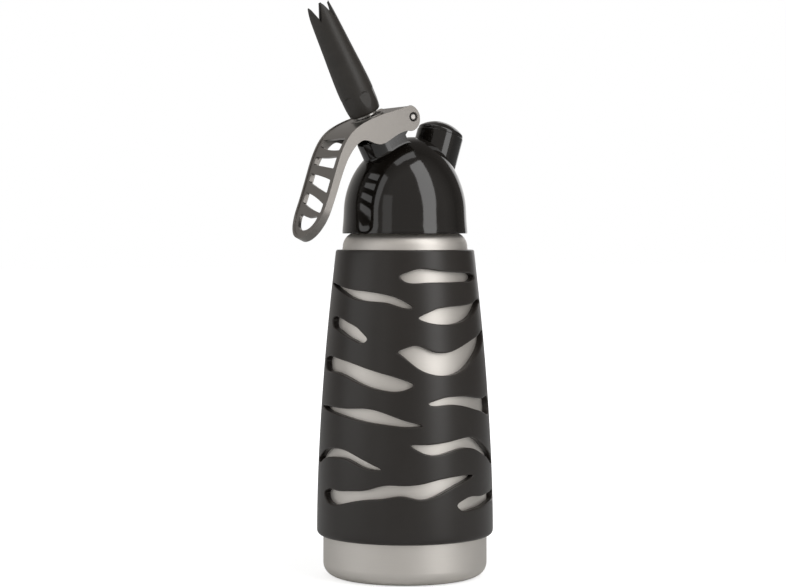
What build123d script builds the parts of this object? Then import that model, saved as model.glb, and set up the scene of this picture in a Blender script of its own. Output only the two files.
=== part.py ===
from build123d import *
import math
import os

# Whipped cream dispenser: half-litre metal bottle with a cut-out rubber sleeve, a black head
# with a squeeze lever, a tilted dispensing valve with its decorator tip, and a capped charger
# inlet. Origin: centre of the bottle's foot, on the rest plane. +Z up along the bottle's axis.
# The lever and tip point towards -X, the charger inlet towards +X. Millimetres.

# ---- bottle ----
BODY_R = 42.1            # outside radius of the lower body
TOP_R = 32.0             # outside radius where the shoulder starts
FOOT_ROUND = 6.7         # rounding between foot and side
TAPER_Z = 25.0           # height where the side starts to taper
TAPER_POWER = 1.72       # how late the side leans in
SHOULDER_Z = 168.7       # height where the shoulder's round starts
SHOULDER_ROUND = 7.8
NECK_INSET = 8.0         # how far the neck lies inside the head's side
MOUTH_Z = 191.0          # height of the pouring rim
BOTTLE_WALL = 2.0
BOTTLE_FLOOR = 3.0

# ---- rubber sleeve ----
SLEEVE_LOW_Z = 21.2
SLEEVE_TOP_Z = 167.3
SLEEVE_WALL = 3.2
SLEEVE_EDGE_ROUND = 2.4
SLEEVE_GAP = 0.05

# ---- screw threads: male root radius, depth, pitch, turns ----
THREAD_GAP = 0.25        # radial clearance of every screw thread
TOOTH_ROOT = 0.62        # tooth width at its root, as a share of the pitch
TOOTH_TIP = 0.22         # tooth width at its tip, as a share of the pitch
TOOTH_SINK = 0.05        # how far a tooth starts inside its core
NECK_PITCH = 4.0
NECK_DEPTH = 1.5
NECK_TURNS = 2.5
NECK_THREAD_Z = 178.5    # where the neck's thread starts
INLET_PITCH = 2.0
INLET_DEPTH = 0.9
INLET_TURNS = 5.0
TIP_PITCH = 1.6
TIP_DEPTH = 0.6
TIP_TURNS = 3.0

# ---- head ----
RIM_Z = 175.6            # lower rim of the head
RIM_R = 32.1
DOME_R = 31.5
DOME_Z = 186.0           # where the straight skirt ends and the dome starts
DOME_HEIGHT = 39.2
DOME_POWER = 1.9         # fullness of the dome's oval
DOME_SWAY = 4.5          # how far the dome's top leans towards the inlet
DOME_SWAY_POWER = 5.0
DOME_SHARES = (0.0, 0.15, 0.3, 0.45, 0.58, 0.7, 0.8, 0.88, 0.94, 0.98, 0.995)
SKIRT_WALL = 1.9         # wall of the skirt around the metal insert
INSERT_Z = 177.0         # lower end of the insert
CAVITY_HEIGHT = 16.0     # rise of the insert's rounded top
CAVITY_Z = 188.0         # where that rounding starts
FIT_GAP = 0.1            # radial clearance of pieces pushed into one another
CHAMBER_INSET = 3.1      # the chamber over the mouth is this much smaller than the neck
CHAMBER_TOP_Z = 196.3
GASKET_T = 2.4
GASKET_WIDTH = 4.25
GASKET_GAP = 0.05
CREASE_ROUND = 1.5       # where the valve's boss grows out of the dome
BOSS_ROUND = 0.8
POCKET_ROUND = 0.8       # brim of the pocket around the inlet's cap

# ---- dispensing valve; its axis leans towards -X ----
VALVE_X = -13.4
VALVE_Z = 217.6
VALVE_LEAN = 27.3
BOSS_R = 10.5
BOSS_TOP = 8.0           # along the valve axis, from (VALVE_X, VALVE_Z)
BOSS_ROOT = -16.0
CUP_R = 8.3
CUP_FLOOR = -5.0
GUIDE_R = 6.4
GUIDE_FLANGE_T = 1.8
GUIDE_END = -25.0        # lower end of the guide, which is the valve's seat
SEAT_R = 4.6             # radius of the passage behind the seat
SEAT_DEPTH = 7.0
SEAT_POCKET_R = 8.5
SEAT_POCKET_DEPTH = 3.0
STEM_R = 3.2
STEM_BORE_R = 2.0
STEM_TOP = 25.0
STEM_FIT = 0.08          # running clearance of stem and pin
PORT_R = 1.1             # cross holes of the stem
PORT_RISE = 2.6          # height of the cross holes above the seat
PLUG_R = 5.6             # mushroom end of the stem
PLUG_T = 2.0
SEAL_T = 1.4             # rubber washer on the mushroom end
SEAL_GAP = 0.1
RING_WIRE_R = 0.8        # section radius of the stem's O-rings
RING_POSITIONS = (-9.0, -13.0)
GUIDE_RING_WIRE_R = 0.7
GUIDE_RING_AT = -11.0

# ---- pressing collar, spring and tip adapter on the stem ----
COLLAR_R = 6.5
COLLAR_LOW = 13.2
COLLAR_CROWN_R = 14.0    # radius of its domed top
COLLAR_GAP = 0.1         # gap between dome and lever at rest
SPRING_COIL_R = 5.2      # mean radius of the coil
SPRING_WIRE_R = 0.55
SPRING_TURNS = 6.0
FLANGE_R = 6.0
FLANGE_LOW = 19.9
FLANGE_T = 1.3
SPIGOT_R = 4.0           # root radius of the adapter's thread
SPIGOT_LENGTH = 8.2
OUTLET_R = 2.2

# ---- decorator tip, along the valve axis ----
TIP_BASE_R = 8.0
TIP_CHAMFER = 0.7
TIP_BELLY_R = 8.85
TIP_BELLY = 15.0         # height of the widest place above the tip's base
TIP_MID_R = 7.8
TIP_MID = 34.0
TIP_PRONG_R = 6.7        # outside radius where the prongs start
TIP_END_R = 5.9
TIP_LENGTH = 59.8
TIP_WALL = 1.6
PRONG_LENGTH = 8.2
PRONG_COUNT = 5
PRONG_TURN = -96.0       # direction of the first prong around the valve axis
PRONG_POINT = 0.5        # width left at a prong's point
GRIP_FLATS = 6
GRIP_FLAT_R = 8.15       # distance of a grip flat from the axis
GRIP_FLAT_TOP = 11.0
SOCKET_TOP_GAP = 0.8     # gap between spigot end and the tip's socket end
TIP_SEAL_T = 1.3
TIP_SEAL_R = 5.7

# ---- lever, in the X-Z plane ----
PIVOT_X = -4.1
PIVOT_Z = 234.5
LEVER_WIDTH = 31.5
PLATE_T = 2.0
WEB_T = 1.8
LIP = 0.4                # how far the rim stands above the web
LIP_WIDTH = 1.5
PIN_R = 2.0
PIN_RECESS = 0.35        # how far the pin's ends lie inside the plates
PIN_HOLE_FLARE = 0.45
PIN_BOSS_R = 4.0
LUG_R = 3.5
LUG_GAP = 0.3            # side gap between the lever's bosses and the lug
TIP_NOSE = 17.0          # length of the handle's rounded end
STEM_HOLE_R = 4.5
STEM_HOLE_SHIFT = 0.4    # the hole lies this much nearer the pivot than the stem
STEM_RING_R = 9.0
STEM_RING_WIDTH = 1.5
STEM_RING_T = 0.5        # how far the ring around the stem's hole stands above the web
HOLE_HALF_WIDTH = 11.4   # half width of the openings in the handle
HOLE_CORNER = 0.8
# rim line of the lever from above the pivot, over the bend, down to the handle's end
RIM_LINE = [(-5.6, 240.3), (-19.0, 236.1), (-32.0, 230.9), (-38.8, 226.1), (-43.6, 219.3),
            (-48.4, 206.8), (-51.9, 195.7), (-56.2, 184.1), (-61.4, 173.2)]
# free edge of the side plates, from below the pivot to the handle's end
PLATE_EDGE = [(-4.5, 227.4), (-14.5, 224.6), (-23.9, 220.2), (-32.3, 222.0), (-38.4, 217.4),
              (-43.4, 208.4), (-47.5, 196.8), (-51.7, 185.2), (-58.0, 170.0)]
PLATE_NOSE = (-0.4, 234.4)
PLATE_NOSE_TOP = (-2.1, 238.3)
PLATE_NOSE_LOW = (-1.5, 229.6)
HANDLE_TOP = (-41.6, 223.4)
HANDLE_LEAN = 19.6       # lean of the handle's middle from the vertical
# each opening: distance below HANDLE_TOP of its upper edge, then of its lower edge,
# at the -Y side, the middle and the +Y side
HANDLE_OPENINGS = [((0.0, 0.0, 0.3), (6.9, 6.4, 4.1)),
                   ((9.9, 10.4, 9.7), (16.7, 15.3, 13.9)),
                   ((22.7, 20.3, 18.5), (29.6, 26.5, 23.0)),
                   ((35.4, 31.3, 28.5), (40.0, 37.7, 34.2))]
NOSE_OPENING = [(-9.8, 43.6), (-5.0, 48.6), (2.0, 49.2), (8.2, 45.6), (9.6, 41.2), (0.0, 42.2)]

# ---- charger inlet; its axis leans towards +X ----
INLET_X = 21.1
INLET_Z = 227.1
INLET_LEAN = 17.0
CAP_R = 12.1
CAP_LOW = -20.0          # along the inlet axis, from (INLET_X, INLET_Z)
CAP_BAND_R = 11.75
CAP_BAND_T = 1.5
CAP_CROWN = 4.6
CAP_ROUND = 1.4
CAP_CEILING = -2.1
POCKET_GAP = 0.5         # gap around and under the cap in its pocket
INLET_R = 8.1            # root radius of the inlet's thread
INLET_TOP = -4.0
INLET_FLANGE_R = 10.4
INLET_FLANGE_T = 2.2
SHANK_R = 5.9
SHANK_END = -34.0
NUT_R = 6.8
NUT_TOP = -30.0
NUT_T = 3.0
NUT_THREAD_R = 4.6
CHARGER_BORE_R = 5.2
CHARGER_BORE_END = -15.0
GAS_BORE_R = 3.0
NEEDLE_R = 1.4
NEEDLE_TOP = -9.3
NEEDLE_BORE_R = 0.5
PIERCER_T = 1.8
PIERCER_TAIL = 2.0
CHARGER_SEAL_T = 2.2
CAP_SEAL_T = 1.7
CAP_SEAL_IN_R = 5.2
INLET_RING_R = 7.3
INLET_RING_WIRE_R = 0.9
CHECK_VALVE_LENGTH = 5.0
CHECK_VALVE_LIP = 0.8

# ---- openings of the sleeve ----
# each stripe: its start and end angle around the axis, the heights of those two ends, and the
# heights of its lower and of its upper edge at even places along the way
FRONT = -120.0           # angle of the side that the lever's near face shows
STRIPE_MARGIN = 0.4      # part of a step that the outermost heights stand from the ends
STRIPES = [((-4, 72), (153.6, 153.6), (151.4, 151.0, 151.2, 151.2, 151.3, 152.0),
            (156.1, 158.0, 157.0, 156.3, 155.8, 155.0)),
           ((-79, 6), (150.2, 138.6), (148.9, 146.3, 143.3, 141.8, 141.1, 138.6),
            (150.3, 148.7, 147.3, 146.5, 145.0, 141.4)),
           ((10.5, 82), (133.2, 141.0), (131.9, 130.4, 130.5, 132.3, 135.7, 139.6),
            (135.5, 138.4, 139.1, 139.5, 140.7, 142.1)),
           ((-69, -28.5), (131.2, 122.8), (128.5, 127.0, 125.2, 123.5, 122.0, 121.3),
            (133.4, 133.5, 132.2, 130.5, 128.7, 125.1)),
           ((-5, 86), (116.4, 125.2), (114.3, 108.3, 105.7, 105.6, 108.0, 112.5, 117.1, 121.8),
            (118.5, 119.5, 116.4, 116.6, 119.3, 122.0, 124.3, 126.3)),
           ((-79, 6), (110.2, 100.4), (106.6, 105.7, 103.5, 100.0, 97.8, 98.2),
            (113.2, 113.0, 111.3, 108.6, 105.8, 102.7)),
           ((16.5, 84), (90.8, 87.8), (90.0, 90.3, 89.3, 87.2, 85.1, 83.8),
            (92.6, 94.3, 94.1, 93.1, 92.2, 92.3)),
           ((-76, 11.5), (87.6, 80.5), (86.5, 85.1, 83.5, 81.8, 80.6, 79.9),
            (88.3, 88.1, 88.2, 88.4, 85.4, 81.8)),
           ((4, 87), (70.5, 58.4), (68.4, 65.7, 66.7, 68.3, 67.9, 64.8, 61.1, 57.8),
            (71.1, 71.1, 72.0, 73.3, 73.5, 70.1, 65.6, 61.3)),
           ((-82, -15.5), (59.8, 58.6), (58.9, 62.1, 63.3, 63.1, 60.2, 58.5),
            (62.2, 66.2, 67.7, 67.2, 64.1, 60.4)),
           ((-65, 50), (43.4, 54.5), (40.6, 39.9, 42.0, 43.5, 44.5, 45.6, 44.0, 46.0, 49.8, 52.8),
            (46.6, 46.6, 47.3, 48.3, 50.8, 50.9, 51.5, 53.4, 54.5, 54.9)),
           ((36, 90), (39.6, 42.0), (37.5, 37.5, 38.0, 38.9, 39.6, 40.3),
            (42.2, 43.9, 43.4, 44.0, 44.5, 44.1)),
           ((112, 238), (147.5, 147.0), (148.0, 146.0, 142.0, 143.0), (152.0, 153.0, 148.0, 146.0)),
           ((104, 176), (128.0, 129.0), (128.5, 127.0, 123.0, 124.5), (132.5, 134.5, 130.0, 128.0)),
           ((190, 246), (136.0, 127.0), (133.5, 129.0, 127.0, 125.5), (136.5, 135.5, 133.0, 129.5)),
           ((116, 226), (106.0, 112.0), (107.5, 106.5, 102.0, 106.0), (112.5, 115.5, 111.5, 110.0)),
           ((106, 168), (88.5, 87.0), (84.5, 83.5, 86.5, 88.0), (88.0, 89.5, 93.0, 91.0)),
           ((182, 256), (93.0, 96.0), (88.0, 84.5, 87.0, 92.5), (92.0, 91.5, 94.5, 97.5)),
           ((110, 212), (64.0, 67.5), (66.0, 65.0, 60.0, 62.5), (69.5, 71.0, 67.0, 65.5)),
           ((104, 166), (43.5, 42.0), (39.5, 38.0, 41.5, 43.0), (43.5, 44.5, 47.5, 46.0)),
           ((178, 262), (47.0, 43.5), (42.0, 40.0, 43.5, 44.5), (45.5, 47.0, 50.5, 49.0))]
STRIPE_CUT_R = 48.0      # reach of the tool that cuts a stripe

# ---- worked out from the above ----
NECK_R = DOME_R - NECK_INSET             # outside radius of the neck at the thread's root
CHAMBER_R = NECK_R - CHAMBER_INSET
LEVER_HALF = LEVER_WIDTH / 2
CHANNEL_HALF = LEVER_HALF - PLATE_T
FLANGE_TOP = FLANGE_LOW + FLANGE_T
GASKET_OUT_R = NECK_R + NECK_DEPTH + THREAD_GAP - FIT_GAP
GASKET_LOW_Z = MOUTH_Z + GASKET_GAP
GASKET_SEAT_Z = GASKET_LOW_Z + GASKET_T + GASKET_GAP
SHOULDER_X = TOP_R - SHOULDER_ROUND

VALVE = Location((VALVE_X, 0, VALVE_Z), (0, -VALVE_LEAN, 0))
INLET = Location((INLET_X, 0, INLET_Z), (0, INLET_LEAN, 0))


# ---- helpers ----
def disc(radius, low, high):
    """Cylinder on the local Z axis from low to high."""
    return Pos(0, 0, low) * Cylinder(radius, high - low, align=(Align.CENTER, Align.CENTER, Align.MIN))


def tube(outer, inner, low, high):
    return disc(outer, low, high) - disc(inner, low, high)


def torus_at(major, minor, height):
    return Pos(0, 0, height) * Torus(major, minor)


def turned(*points):
    """Solid of revolution about Z from straight-sided (radius, height) points."""
    return revolve(make_face(Plane.XZ * Polyline(*points, close=True)), Axis.Z)


def oval_crown(radius, height, low):
    """Quarter oval from the side at low up to the axis, in (radius, height)."""
    turns = [math.radians(90 * i / 4) for i in range(5)]
    points = [(radius * math.cos(t), low + height * math.sin(t)) for t in turns]
    return Spline(*points, tangents=[(0, 1), (-1, 0)])


def thread(root_r, depth, pitch, turns, start, inward=False):
    """Helical tooth on the local Z axis; inward is -1 sided, for a nut."""
    side = -1 if inward else 1
    root, tip = TOOTH_ROOT * pitch / 2, TOOTH_TIP * pitch / 2
    foot = -side * TOOTH_SINK
    corners = [(foot, -root), (side * depth, -tip), (side * depth, tip), (foot, root)]
    start_plane = Plane((root_r, 0, start), x_dir=(1, 0, 0), z_dir=(0, -1, 0))
    profile = start_plane * Polygon(*corners, align=None)
    return sweep(profile, path=Helix(pitch, pitch * turns, root_r, center=(0, 0, start)), is_frenet=True)


def nut_thread(root_r, depth, pitch, turns, start):
    """Tooth of the nut that runs on thread(): half a pitch away and clear by THREAD_GAP."""
    return thread(root_r + depth + THREAD_GAP, depth, pitch, turns - 0.5, start + pitch / 2, inward=True)


# ---- bottle and sleeve ----
def body_radius(z):
    """Outside radius of the bottle at a height between foot and shoulder."""
    share = max(0.0, (z - TAPER_Z) / (SHOULDER_Z - TAPER_Z))
    return BODY_R - (BODY_R - TOP_R) * share ** TAPER_POWER


def side_curve(low, high, grow, steps=6):
    """Spline along the bottle's side between two heights, grow outside it."""
    heights = [low + (high - low) * i / steps for i in range(steps + 1)]
    return Spline(*[(body_radius(z) + grow, z) for z in heights])


def bottle_profile(inset, floor, top):
    """Half outline of the bottle, moved inwards by inset."""
    radius, round_r = BODY_R - inset, FOOT_ROUND - inset
    shoulder_r = SHOULDER_ROUND - inset
    foot = Line((0, floor), (radius - round_r, floor))
    heel = RadiusArc(foot @ 1, (radius, floor + round_r), -round_r)
    lower = Line(heel @ 1, (radius, TAPER_Z))
    side = side_curve(TAPER_Z, SHOULDER_Z, -inset)
    shoulder = ThreePointArc(side @ 1, (SHOULDER_X + shoulder_r * math.sqrt(0.5),
                                        SHOULDER_Z + shoulder_r * math.sqrt(0.5)),
                             (SHOULDER_X, SHOULDER_Z + shoulder_r))
    neck_r = NECK_R - inset
    deck = Line(shoulder @ 1, (neck_r, SHOULDER_Z + shoulder_r))
    neck = Line(deck @ 1, (neck_r, top))
    lid = Line(neck @ 1, (0, top))
    axis = Line(lid @ 1, (0, floor))
    return make_face(Plane.XZ * (foot + heel + lower + side + shoulder + deck + neck + lid + axis))


def bottle():
    outer = revolve(bottle_profile(0, 0, MOUTH_Z), Axis.Z)
    inner = revolve(bottle_profile(BOTTLE_WALL, BOTTLE_FLOOR, MOUTH_Z + 1), Axis.Z)
    return outer - inner + thread(NECK_R, NECK_DEPTH, NECK_PITCH, NECK_TURNS, NECK_THREAD_Z)


def stripe_shares(count):
    """Even places along a stripe, from 0 at its start to 1 at its end."""
    margin = STRIPE_MARGIN / count
    return [margin + (1 - 2 * margin) * i / (count - 1) for i in range(count)]


def stripe_cutter(angles, ends, lower, upper):
    """Wedge from the bottle's axis that cuts one stripe through the sleeve."""
    start, end = angles
    middle = math.radians(FRONT + (start + end) / 2)
    level = sum(ends) / 2
    growth = STRIPE_CUT_R / (body_radius(level) + SLEEVE_GAP + SLEEVE_WALL)

    def on_plane(share, height):
        turn = math.radians((share - 0.5) * (end - start))
        return STRIPE_CUT_R * math.tan(turn), (height - level) * growth / math.cos(turn)

    there = [on_plane(share, height) for share, height in zip(stripe_shares(len(lower)), lower)]
    back = [on_plane(share, height) for share, height in zip(stripe_shares(len(upper)), upper)]
    points = [on_plane(0, ends[0])] + there + [on_plane(1, ends[1])] + back[::-1]
    outward = (math.cos(middle), math.sin(middle), 0)
    plane = Plane((STRIPE_CUT_R * outward[0], STRIPE_CUT_R * outward[1], level),
                  x_dir=(-outward[1], outward[0], 0), z_dir=outward)
    outline = plane * make_face(Spline(*points, periodic=True))
    return loft([Vertex(0, 0, level), outline.face()])


def grip_sleeve():
    outer = side_curve(SLEEVE_LOW_Z + SLEEVE_EDGE_ROUND, SLEEVE_TOP_Z, SLEEVE_GAP + SLEEVE_WALL)
    inner = side_curve(SLEEVE_LOW_Z, SLEEVE_TOP_Z, SLEEVE_GAP)
    low_outer = outer @ 0
    corner = (low_outer.X - SLEEVE_EDGE_ROUND, SLEEVE_LOW_Z)
    outline = (outer + Line(outer @ 1, inner @ 1) + inner + Line(inner @ 0, corner)
               + RadiusArc(corner, low_outer, -SLEEVE_EDGE_ROUND))
    sleeve = revolve(make_face(Plane.XZ * outline), Axis.Z)
    for stripe in STRIPES:
        sleeve -= stripe_cutter(*stripe)
    return sleeve


# ---- head ----
def cavity(shrink):
    """Space under the head's dome that the metal insert fills, shrunk by a clearance."""
    radius = DOME_R - SKIRT_WALL - shrink
    top = CAVITY_HEIGHT - shrink
    wall = Line((radius, RIM_Z - 1), (radius, CAVITY_Z))
    dome = oval_crown(radius, top, CAVITY_Z)
    low = RIM_Z - 1
    outline = wall + dome + Polyline((0, CAVITY_Z + top), (0, low), (radius, low))
    return revolve(make_face(Plane.XZ * outline), Axis.Z)


def dome_ring(share):
    """Level outline of the dome at a share of its height."""
    radius = DOME_R * (1 - share ** DOME_POWER) ** (1 / DOME_POWER)
    height = DOME_Z + DOME_HEIGHT * share
    return Pos(DOME_SWAY * share ** DOME_SWAY_POWER, 0, height) * Circle(radius)


def dome():
    skirt = [Pos(0, 0, RIM_Z) * Circle(RIM_R),
             Pos(0, 0, (RIM_Z + DOME_Z) / 2) * Circle((RIM_R + DOME_R) / 2)]
    return loft(skirt + [dome_ring(share) for share in DOME_SHARES])


def valve_frame(x, z):
    """(across, along) the valve axis of a point of the X-Z plane."""
    lean = math.radians(VALVE_LEAN)
    dx, dz = x - VALVE_X, z - VALVE_Z
    return dx * math.cos(lean) + dz * math.sin(lean), -dx * math.sin(lean) + dz * math.cos(lean)


def valve_boss():
    """Round boss of the valve, its flat-sided block and the lug that carries the pivot."""
    across, along = valve_frame(PIVOT_X, PIVOT_Z)
    block = Plane.XZ * Rectangle(BOSS_R, BOSS_TOP - BOSS_ROOT, align=(Align.MIN, Align.MIN))
    block = Pos(0, 0, BOSS_ROOT) * block
    heel = (BOSS_R, BOSS_TOP - 4.5)
    inner = CUP_R + 0.6
    corners = make_face(Polyline((inner, BOSS_TOP), (inner, heel[1]), heel, close=True))
    eye = Pos(across, along) * Rot(0, 0, -135) * Circle(LUG_R)
    ear = make_hull(corners.edges() + eye.edges())
    lug = Plane.XZ * ear
    solid = disc(BOSS_R, BOSS_ROOT, BOSS_TOP)
    solid += extrude(block, BOSS_R, both=True)
    solid += extrude(lug, BOSS_R, both=True)
    return VALVE * solid


def curved_edge(edge):
    return edge.geom_type == GeomType.BSPLINE


def on_seam(edge):
    """Whether an edge lies in the X-Z plane, as the seams of turned faces do."""
    return abs(edge.bounding_box().min.Y) < 0.01 and abs(edge.bounding_box().max.Y) < 0.01


def soft_edge(edge):
    return curved_edge(edge) and not on_seam(edge)


def head_body():
    across, along = valve_frame(PIVOT_X, PIVOT_Z)
    solid = dome() + valve_boss()
    crease = solid.edges().filter_by(lambda e: soft_edge(e) and e.center().Z > DOME_Z + 1)
    solid = solid.fillet(CREASE_ROUND, crease)
    solid -= VALVE * disc(CUP_R, CUP_FLOOR, BOSS_TOP + 1)
    solid = solid.fillet(BOSS_ROUND, solid.edges().filter_by(GeomType.CIRCLE).filter_by(
        lambda e: abs(e.radius - BOSS_R) < 0.01))
    solid -= VALVE * disc(GUIDE_R + FIT_GAP, GUIDE_END, CUP_FLOOR)
    solid -= INLET * disc(CAP_R + POCKET_GAP, CAP_LOW - POCKET_GAP, 12)
    brim = solid.edges().filter_by(lambda e: soft_edge(e) and e.center().X > INLET_X - CAP_R)
    solid = solid.fillet(POCKET_ROUND, brim)
    solid -= INLET * disc(SHANK_R + FIT_GAP, SHANK_END, CAP_LOW)
    solid -= INLET * tube(INLET_RING_R + INLET_RING_WIRE_R, INLET_RING_R - INLET_RING_WIRE_R,
                          CAP_LOW - POCKET_GAP - 2 * INLET_RING_WIRE_R, CAP_LOW)
    solid -= cavity(0)
    pin_axis = Plane.XZ.offset(-BOSS_R - 1)
    solid -= VALVE * extrude(pin_axis * Pos(across, along) * Circle(PIN_R), 2 * BOSS_R + 2)
    return solid


def head_insert():
    solid = cavity(FIT_GAP) - disc(CAVITY_Z, RIM_Z - 2, INSERT_Z)
    socket_r = NECK_R + NECK_DEPTH + THREAD_GAP
    solid -= disc(socket_r, INSERT_Z - 1, GASKET_SEAT_Z)
    solid -= disc(CHAMBER_R, GASKET_SEAT_Z - 1, CHAMBER_TOP_Z)
    solid -= VALVE * disc(GUIDE_R + FIT_GAP, GUIDE_END, BOSS_TOP)
    solid -= VALVE * disc(SEAT_POCKET_R, GUIDE_END - 12, GUIDE_END + SEAT_POCKET_DEPTH)
    solid -= INLET * disc(SHANK_R + FIT_GAP, SHANK_END, CAP_LOW)
    solid -= INLET * disc(NUT_R + POCKET_GAP, SHANK_END - 8, NUT_TOP)
    return solid + nut_thread(NECK_R, NECK_DEPTH, NECK_PITCH, NECK_TURNS, NECK_THREAD_Z)


def head_gasket():
    return tube(GASKET_OUT_R, GASKET_OUT_R - GASKET_WIDTH, GASKET_LOW_Z, GASKET_LOW_Z + GASKET_T)


# ---- dispensing valve ----
def valve_guide():
    flange_top = CUP_FLOOR + GUIDE_FLANGE_T
    solid = disc(GUIDE_R, GUIDE_END, CUP_FLOOR) + disc(CUP_R - FIT_GAP, CUP_FLOOR, flange_top)
    solid -= disc(STEM_R + STEM_FIT, GUIDE_END, flange_top)
    solid -= disc(SEAT_R, GUIDE_END, GUIDE_END + SEAT_DEPTH)
    groove = RING_WIRE_R * 1.2
    for height in RING_POSITIONS:
        solid -= disc(STEM_R + 2 * groove, height - groove, height + groove)
    outer_groove = GUIDE_RING_WIRE_R * 1.2
    solid -= tube(GUIDE_R + 1, GUIDE_R - 2 * GUIDE_RING_WIRE_R, GUIDE_RING_AT - outer_groove,
                  GUIDE_RING_AT + outer_groove)
    return VALVE * solid


def stem_seals():
    major = STEM_R + STEM_FIT + RING_WIRE_R
    rings = [torus_at(major, RING_WIRE_R, height) for height in RING_POSITIONS]
    return VALVE * Compound(children=rings)


def guide_seal():
    major = GUIDE_R + FIT_GAP - GUIDE_RING_WIRE_R - GASKET_GAP
    return VALVE * torus_at(major, GUIDE_RING_WIRE_R, GUIDE_RING_AT)


def valve_stem():
    plug_top = GUIDE_END - SEAL_GAP - SEAL_T
    solid = disc(STEM_R, plug_top - PLUG_T, STEM_TOP) + disc(PLUG_R, plug_top - PLUG_T, plug_top)
    port = GUIDE_END + PORT_RISE
    solid -= disc(STEM_BORE_R, port - 1.5 * PORT_R, STEM_TOP)
    for turn in (0, 90):
        solid -= Pos(0, 0, port) * Rot(0, 0, turn) * Rot(0, 90, 0) * Cylinder(PORT_R, 4 * STEM_R)
    return VALVE * solid


def valve_seal():
    top = GUIDE_END - SEAL_GAP
    return VALVE * tube(PLUG_R - FIT_GAP, STEM_R + GASKET_GAP, top - SEAL_T, top)


def web_under():
    """Height of the web's underside on the valve axis, and its slope across the axis."""
    (v0, u0), (v1, u1) = valve_frame(*RIM_LINE[1]), valve_frame(*RIM_LINE[2])
    slope = (u1 - u0) / (v1 - v0)
    return u0 - v0 * slope - (LIP + WEB_T) * math.hypot(1, slope), slope


def stem_collar():
    crown_top = web_under()[0] - COLLAR_GAP

    def crown(radius):
        return crown_top - COLLAR_CROWN_R + math.sqrt(COLLAR_CROWN_R ** 2 - radius ** 2)

    side = Polyline((STEM_R, crown(STEM_R)), (STEM_R, COLLAR_LOW), (COLLAR_R, COLLAR_LOW),
                    (COLLAR_R, crown(COLLAR_R)))
    middle = (STEM_R + COLLAR_R) / 2
    top = ThreePointArc(side @ 1, (middle, crown(middle)), side @ 0)
    return VALVE * revolve(make_face(Plane.XZ * (side + top)), Axis.Z)


def return_spring():
    low = CUP_FLOOR + GUIDE_FLANGE_T + SPRING_WIRE_R
    high = COLLAR_LOW - SPRING_WIRE_R
    pitch = (high - low) / SPRING_TURNS
    coil = Helix(pitch, high - low, SPRING_COIL_R, center=(0, 0, low))
    wire = Plane(coil @ 0, z_dir=coil % 0) * Circle(SPRING_WIRE_R)
    return VALVE * sweep(wire, path=coil, is_frenet=True)


def tip_adapter():
    top = FLANGE_TOP + SPIGOT_LENGTH
    solid = disc(FLANGE_R, FLANGE_LOW, FLANGE_TOP) + disc(SPIGOT_R, FLANGE_TOP, top)
    solid = chamfer(solid.edges().group_by(Axis.Z)[0].sort_by(SortBy.RADIUS)[-1], 0.3)
    solid += thread(SPIGOT_R, TIP_DEPTH, TIP_PITCH, TIP_TURNS, FLANGE_TOP + TIP_SEAL_T + TIP_PITCH * 0.6)
    solid -= disc(STEM_R, FLANGE_LOW, STEM_TOP)
    solid -= disc(OUTLET_R, STEM_TOP - 1, top)
    return VALVE * solid


# ---- decorator tip ----
def tip_outer():
    base = FLANGE_TOP + GASKET_GAP
    prong = base + TIP_LENGTH - PRONG_LENGTH
    side = Spline((TIP_BASE_R, base + TIP_CHAMFER), (TIP_BELLY_R, base + TIP_BELLY),
                  (TIP_MID_R, base + TIP_MID), (TIP_PRONG_R, prong), (TIP_END_R, base + TIP_LENGTH))
    outline = side + Polyline(side @ 1, (0, base + TIP_LENGTH), (0, base),
                              (TIP_BASE_R - TIP_CHAMFER, base), side @ 0)
    return revolve(make_face(Plane.XZ * outline), Axis.Z)


def tip_passage():
    base = FLANGE_TOP + GASKET_GAP
    prong = base + TIP_LENGTH - PRONG_LENGTH
    socket_r = SPIGOT_R + TIP_DEPTH + THREAD_GAP
    socket_top = FLANGE_TOP + SPIGOT_LENGTH + SOCKET_TOP_GAP
    seat = TIP_SEAL_R + FIT_GAP
    seat_top = base + TIP_SEAL_T + GASKET_GAP
    end = base + TIP_LENGTH + 1
    return turned((0, base - 1), (seat, base - 1), (seat, seat_top),
                  (socket_r, seat_top), (socket_r, socket_top),
                  (TIP_BELLY_R - 2 * TIP_WALL, base + TIP_BELLY), (TIP_MID_R - TIP_WALL, base + TIP_MID),
                  (TIP_PRONG_R - TIP_WALL, prong), (TIP_END_R - TIP_WALL, end), (0, end))


def prong_notch():
    """V-shaped notch between two prongs, cut outwards along local +X."""
    top = FLANGE_TOP + GASKET_GAP + TIP_LENGTH
    half = TIP_END_R * math.sin(math.pi / PRONG_COUNT) - PRONG_POINT / 2
    spread = half * (PRONG_LENGTH + 2) / PRONG_LENGTH
    profile = Plane.YZ * Polygon((0, top - PRONG_LENGTH), (spread, top + 2), (-spread, top + 2), align=None)
    return extrude(profile, 2 * TIP_BELLY_R)


def grip_flat():
    """Tool for one grip flat at the tip's base, on the local +X side."""
    low = FLANGE_TOP - 1
    high = FLANGE_TOP + GRIP_FLAT_TOP
    block = Pos(GRIP_FLAT_R, 0, low) * Box(6, 4 * TIP_BELLY_R, high - low,
                                           align=(Align.MIN, Align.CENTER, Align.MIN))
    return block


def decorator_tip():
    solid = tip_outer()
    for i in range(GRIP_FLATS):
        solid -= Rot(0, 0, PRONG_TURN + 360 * i / GRIP_FLATS) * grip_flat()
    solid -= tip_passage()
    for i in range(PRONG_COUNT):
        solid -= Rot(0, 0, PRONG_TURN + 360 * (i + 0.5) / PRONG_COUNT) * prong_notch()
    start = FLANGE_TOP + TIP_SEAL_T + TIP_PITCH * 0.6
    return VALVE * (solid + nut_thread(SPIGOT_R, TIP_DEPTH, TIP_PITCH, TIP_TURNS, start))


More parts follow.
